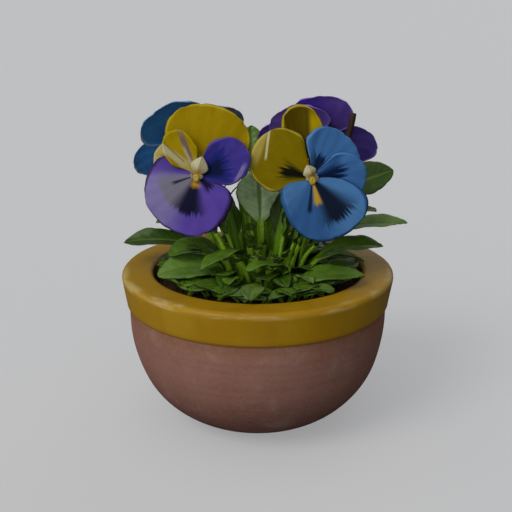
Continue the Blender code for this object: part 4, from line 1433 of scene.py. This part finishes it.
EYE_RADIUS = 2.0 * MM
EYE_STANDOFF = 2.6 * MM
EYE_DROP = 1.6 * MM
CRESTS = {  # angle round the face, length, width, lift of its ridge
    "left": (72, 10.5, 10.5, 3.0),
    "right": (114, 7.5, 8.0, 2.6),
    "back_right": (90, 6.5, 6.5, 2.2),
    "back_left": (90, 6.5, 6.5, 2.2),
}
CREST_CELLS = 20
CREST_FOOT = (0, 0.5 * MM, 1.6 * MM)
CREST_LEAN = math.radians(16)
BEARD_HAIRS = 64
HAIR_LENGTH = 1.9 * MM
HAIR_RADIUS = 0.22 * MM
EYE_AMBER = (0.45, 0.34, 0.05)
CREST_PALE = (0.66, 0.62, 0.40)
CREST_DEEP = (0.50, 0.44, 0.22)
HAIR_PALE = (0.70, 0.64, 0.42)
HAIR_DEEP = (0.55, 0.46, 0.22)


def eye_finish():
    finish = Finish("eye_orange", roughness=0.4)
    place = finish.place()
    grain = finish.cloud(place, 900.0, 3.0)
    finish.set("Base Color", finish.mix(finish.between(grain, 0.35, 0.65), ORANGE, EYE_AMBER))
    finish.set("Normal", finish.bump(grain, 0.5, 0.0003))
    return finish.material


def crest_finish():
    finish = Finish("crest_cream", roughness=0.6)
    finish.set("Specular IOR Level", 0.1)
    stain = Stain(finish, 21.0)
    colour = finish.mix(finish.between(stain.nerves, 0.4, 0.75), CREST_PALE, CREST_DEEP)
    colour = finish.mix(stain.within(0.09, 0.05), colour, ORANGE)
    finish.set("Base Color", colour)
    finish.set("Normal", finish.bump(stain.nerves, 0.3, 0.0003))
    return finish.material


def beard_finish():
    finish = Finish("beard_cream", roughness=0.7)
    grain = finish.cloud(finish.place(), 1400.0, 2.0)
    finish.set("Base Color", finish.mix(grain, HAIR_PALE, HAIR_DEEP))
    finish.set("Normal", finish.bump(grain, 0.3, 0.0001))
    return finish.material


def make_eye(bloom, face, finish):
    ball = bmesh.new()
    place = face @ Matrix.Translation((0, -EYE_DROP, EYE_STANDOFF))
    bmesh.ops.create_uvsphere(ball, u_segments=32, v_segments=20, radius=EYE_RADIUS)
    for vertex in ball.verts:
        dimple = 0.35 * math.exp(-((vertex.co.xy.length / (0.9 * MM)) ** 2))
        if vertex.co.z > 0:
            vertex.co.z *= 1 - dimple
        vertex.co += vertex.co.normalized() * noise.noise(vertex.co * 900) * 0.12 * MM
        vertex.co.y *= 1.25
        vertex.co = place @ vertex.co
    eye = piece(bloom + "_eye", smooth_mesh(bloom + "_eye", ball), finish)
    belongs(eye, "petal_orange", f"bloom_{bloom}_eye")


def make_beard(bloom, face, finish, seed):
    """Two tufts of hairs, left and right of the eye."""
    chance = random.Random(seed)
    tufts = bmesh.new()
    for _ in range(BEARD_HAIRS):
        side = chance.choice((-1, 1))
        foot = Vector((side * chance.uniform(1.9, 3.6), chance.uniform(-1.6, 1.8), chance.uniform(1.6, 2.4)))
        lean = Vector((-side * chance.uniform(0.2, 0.9), chance.uniform(-0.5, 0.3), chance.uniform(0.6, 1.0)))
        turned = lean.to_track_quat("Z", "Y").to_matrix().to_4x4()
        length = HAIR_LENGTH * chance.uniform(0.6, 1.0)
        place = face @ Matrix.Translation(foot * MM) @ turned @ Matrix.Translation((0, 0, length / 2))
        bmesh.ops.create_cone(
            tufts, cap_ends=True, segments=6, radius1=HAIR_RADIUS, radius2=HAIR_RADIUS * 0.5,
            depth=length, matrix=place,
        )
    belongs(piece(bloom + "_beard", smooth_mesh(bloom + "_beard", tufts), finish), "petal_yellow")


def crest_skin(spec, face):
    """A small lozenge creased along its middle, which leans out over the throat."""
    angle, length, width, ridge = spec
    length *= MM
    width *= MM
    turned = Matrix.Rotation(math.radians(angle - 90), 4, "Z")
    place = face @ turned @ Matrix.Translation(CREST_FOOT) @ Matrix.Rotation(CREST_LEAN, 4, "X")

    def skin(across, share):
        outline = (1 - abs(2 * share**0.8 - 1) ** 1.6) ** 0.9
        side = width / 2 * across * max(0.12, outline)
        lift = ridge * MM * (1 - abs(across)) * math.sin(math.pi * min(1.0, share * 0.9 + 0.05))
        middle = Vector((side, length * share, lift))
        out = Vector((0, 0, 0.3 * MM))
        where = Vector((side / PETAL_UNIT, length * share / PETAL_UNIT, 0.5))
        return place @ (middle + out), place @ (middle - out), where

    return skin


EYE_FINISH = eye_finish()
CREST_FINISH = crest_finish()
BEARD_FINISH = beard_finish()
for order, bloom_name in enumerate(BLOOMS):
    bloom_face = face_frame(*BLOOMS[bloom_name][:2])
    make_eye(bloom_name, bloom_face, EYE_FINISH)
    make_beard(bloom_name, bloom_face, BEARD_FINISH, 40 + order)
    crest_of = crest_skin(CRESTS[bloom_name], bloom_face)
    crest = two_sided(bloom_name + "_crest", CREST_CELLS, CREST_CELLS, crest_of, CREST_FINISH, CREST_FINISH)
    belongs(crest, "petal_yellow")
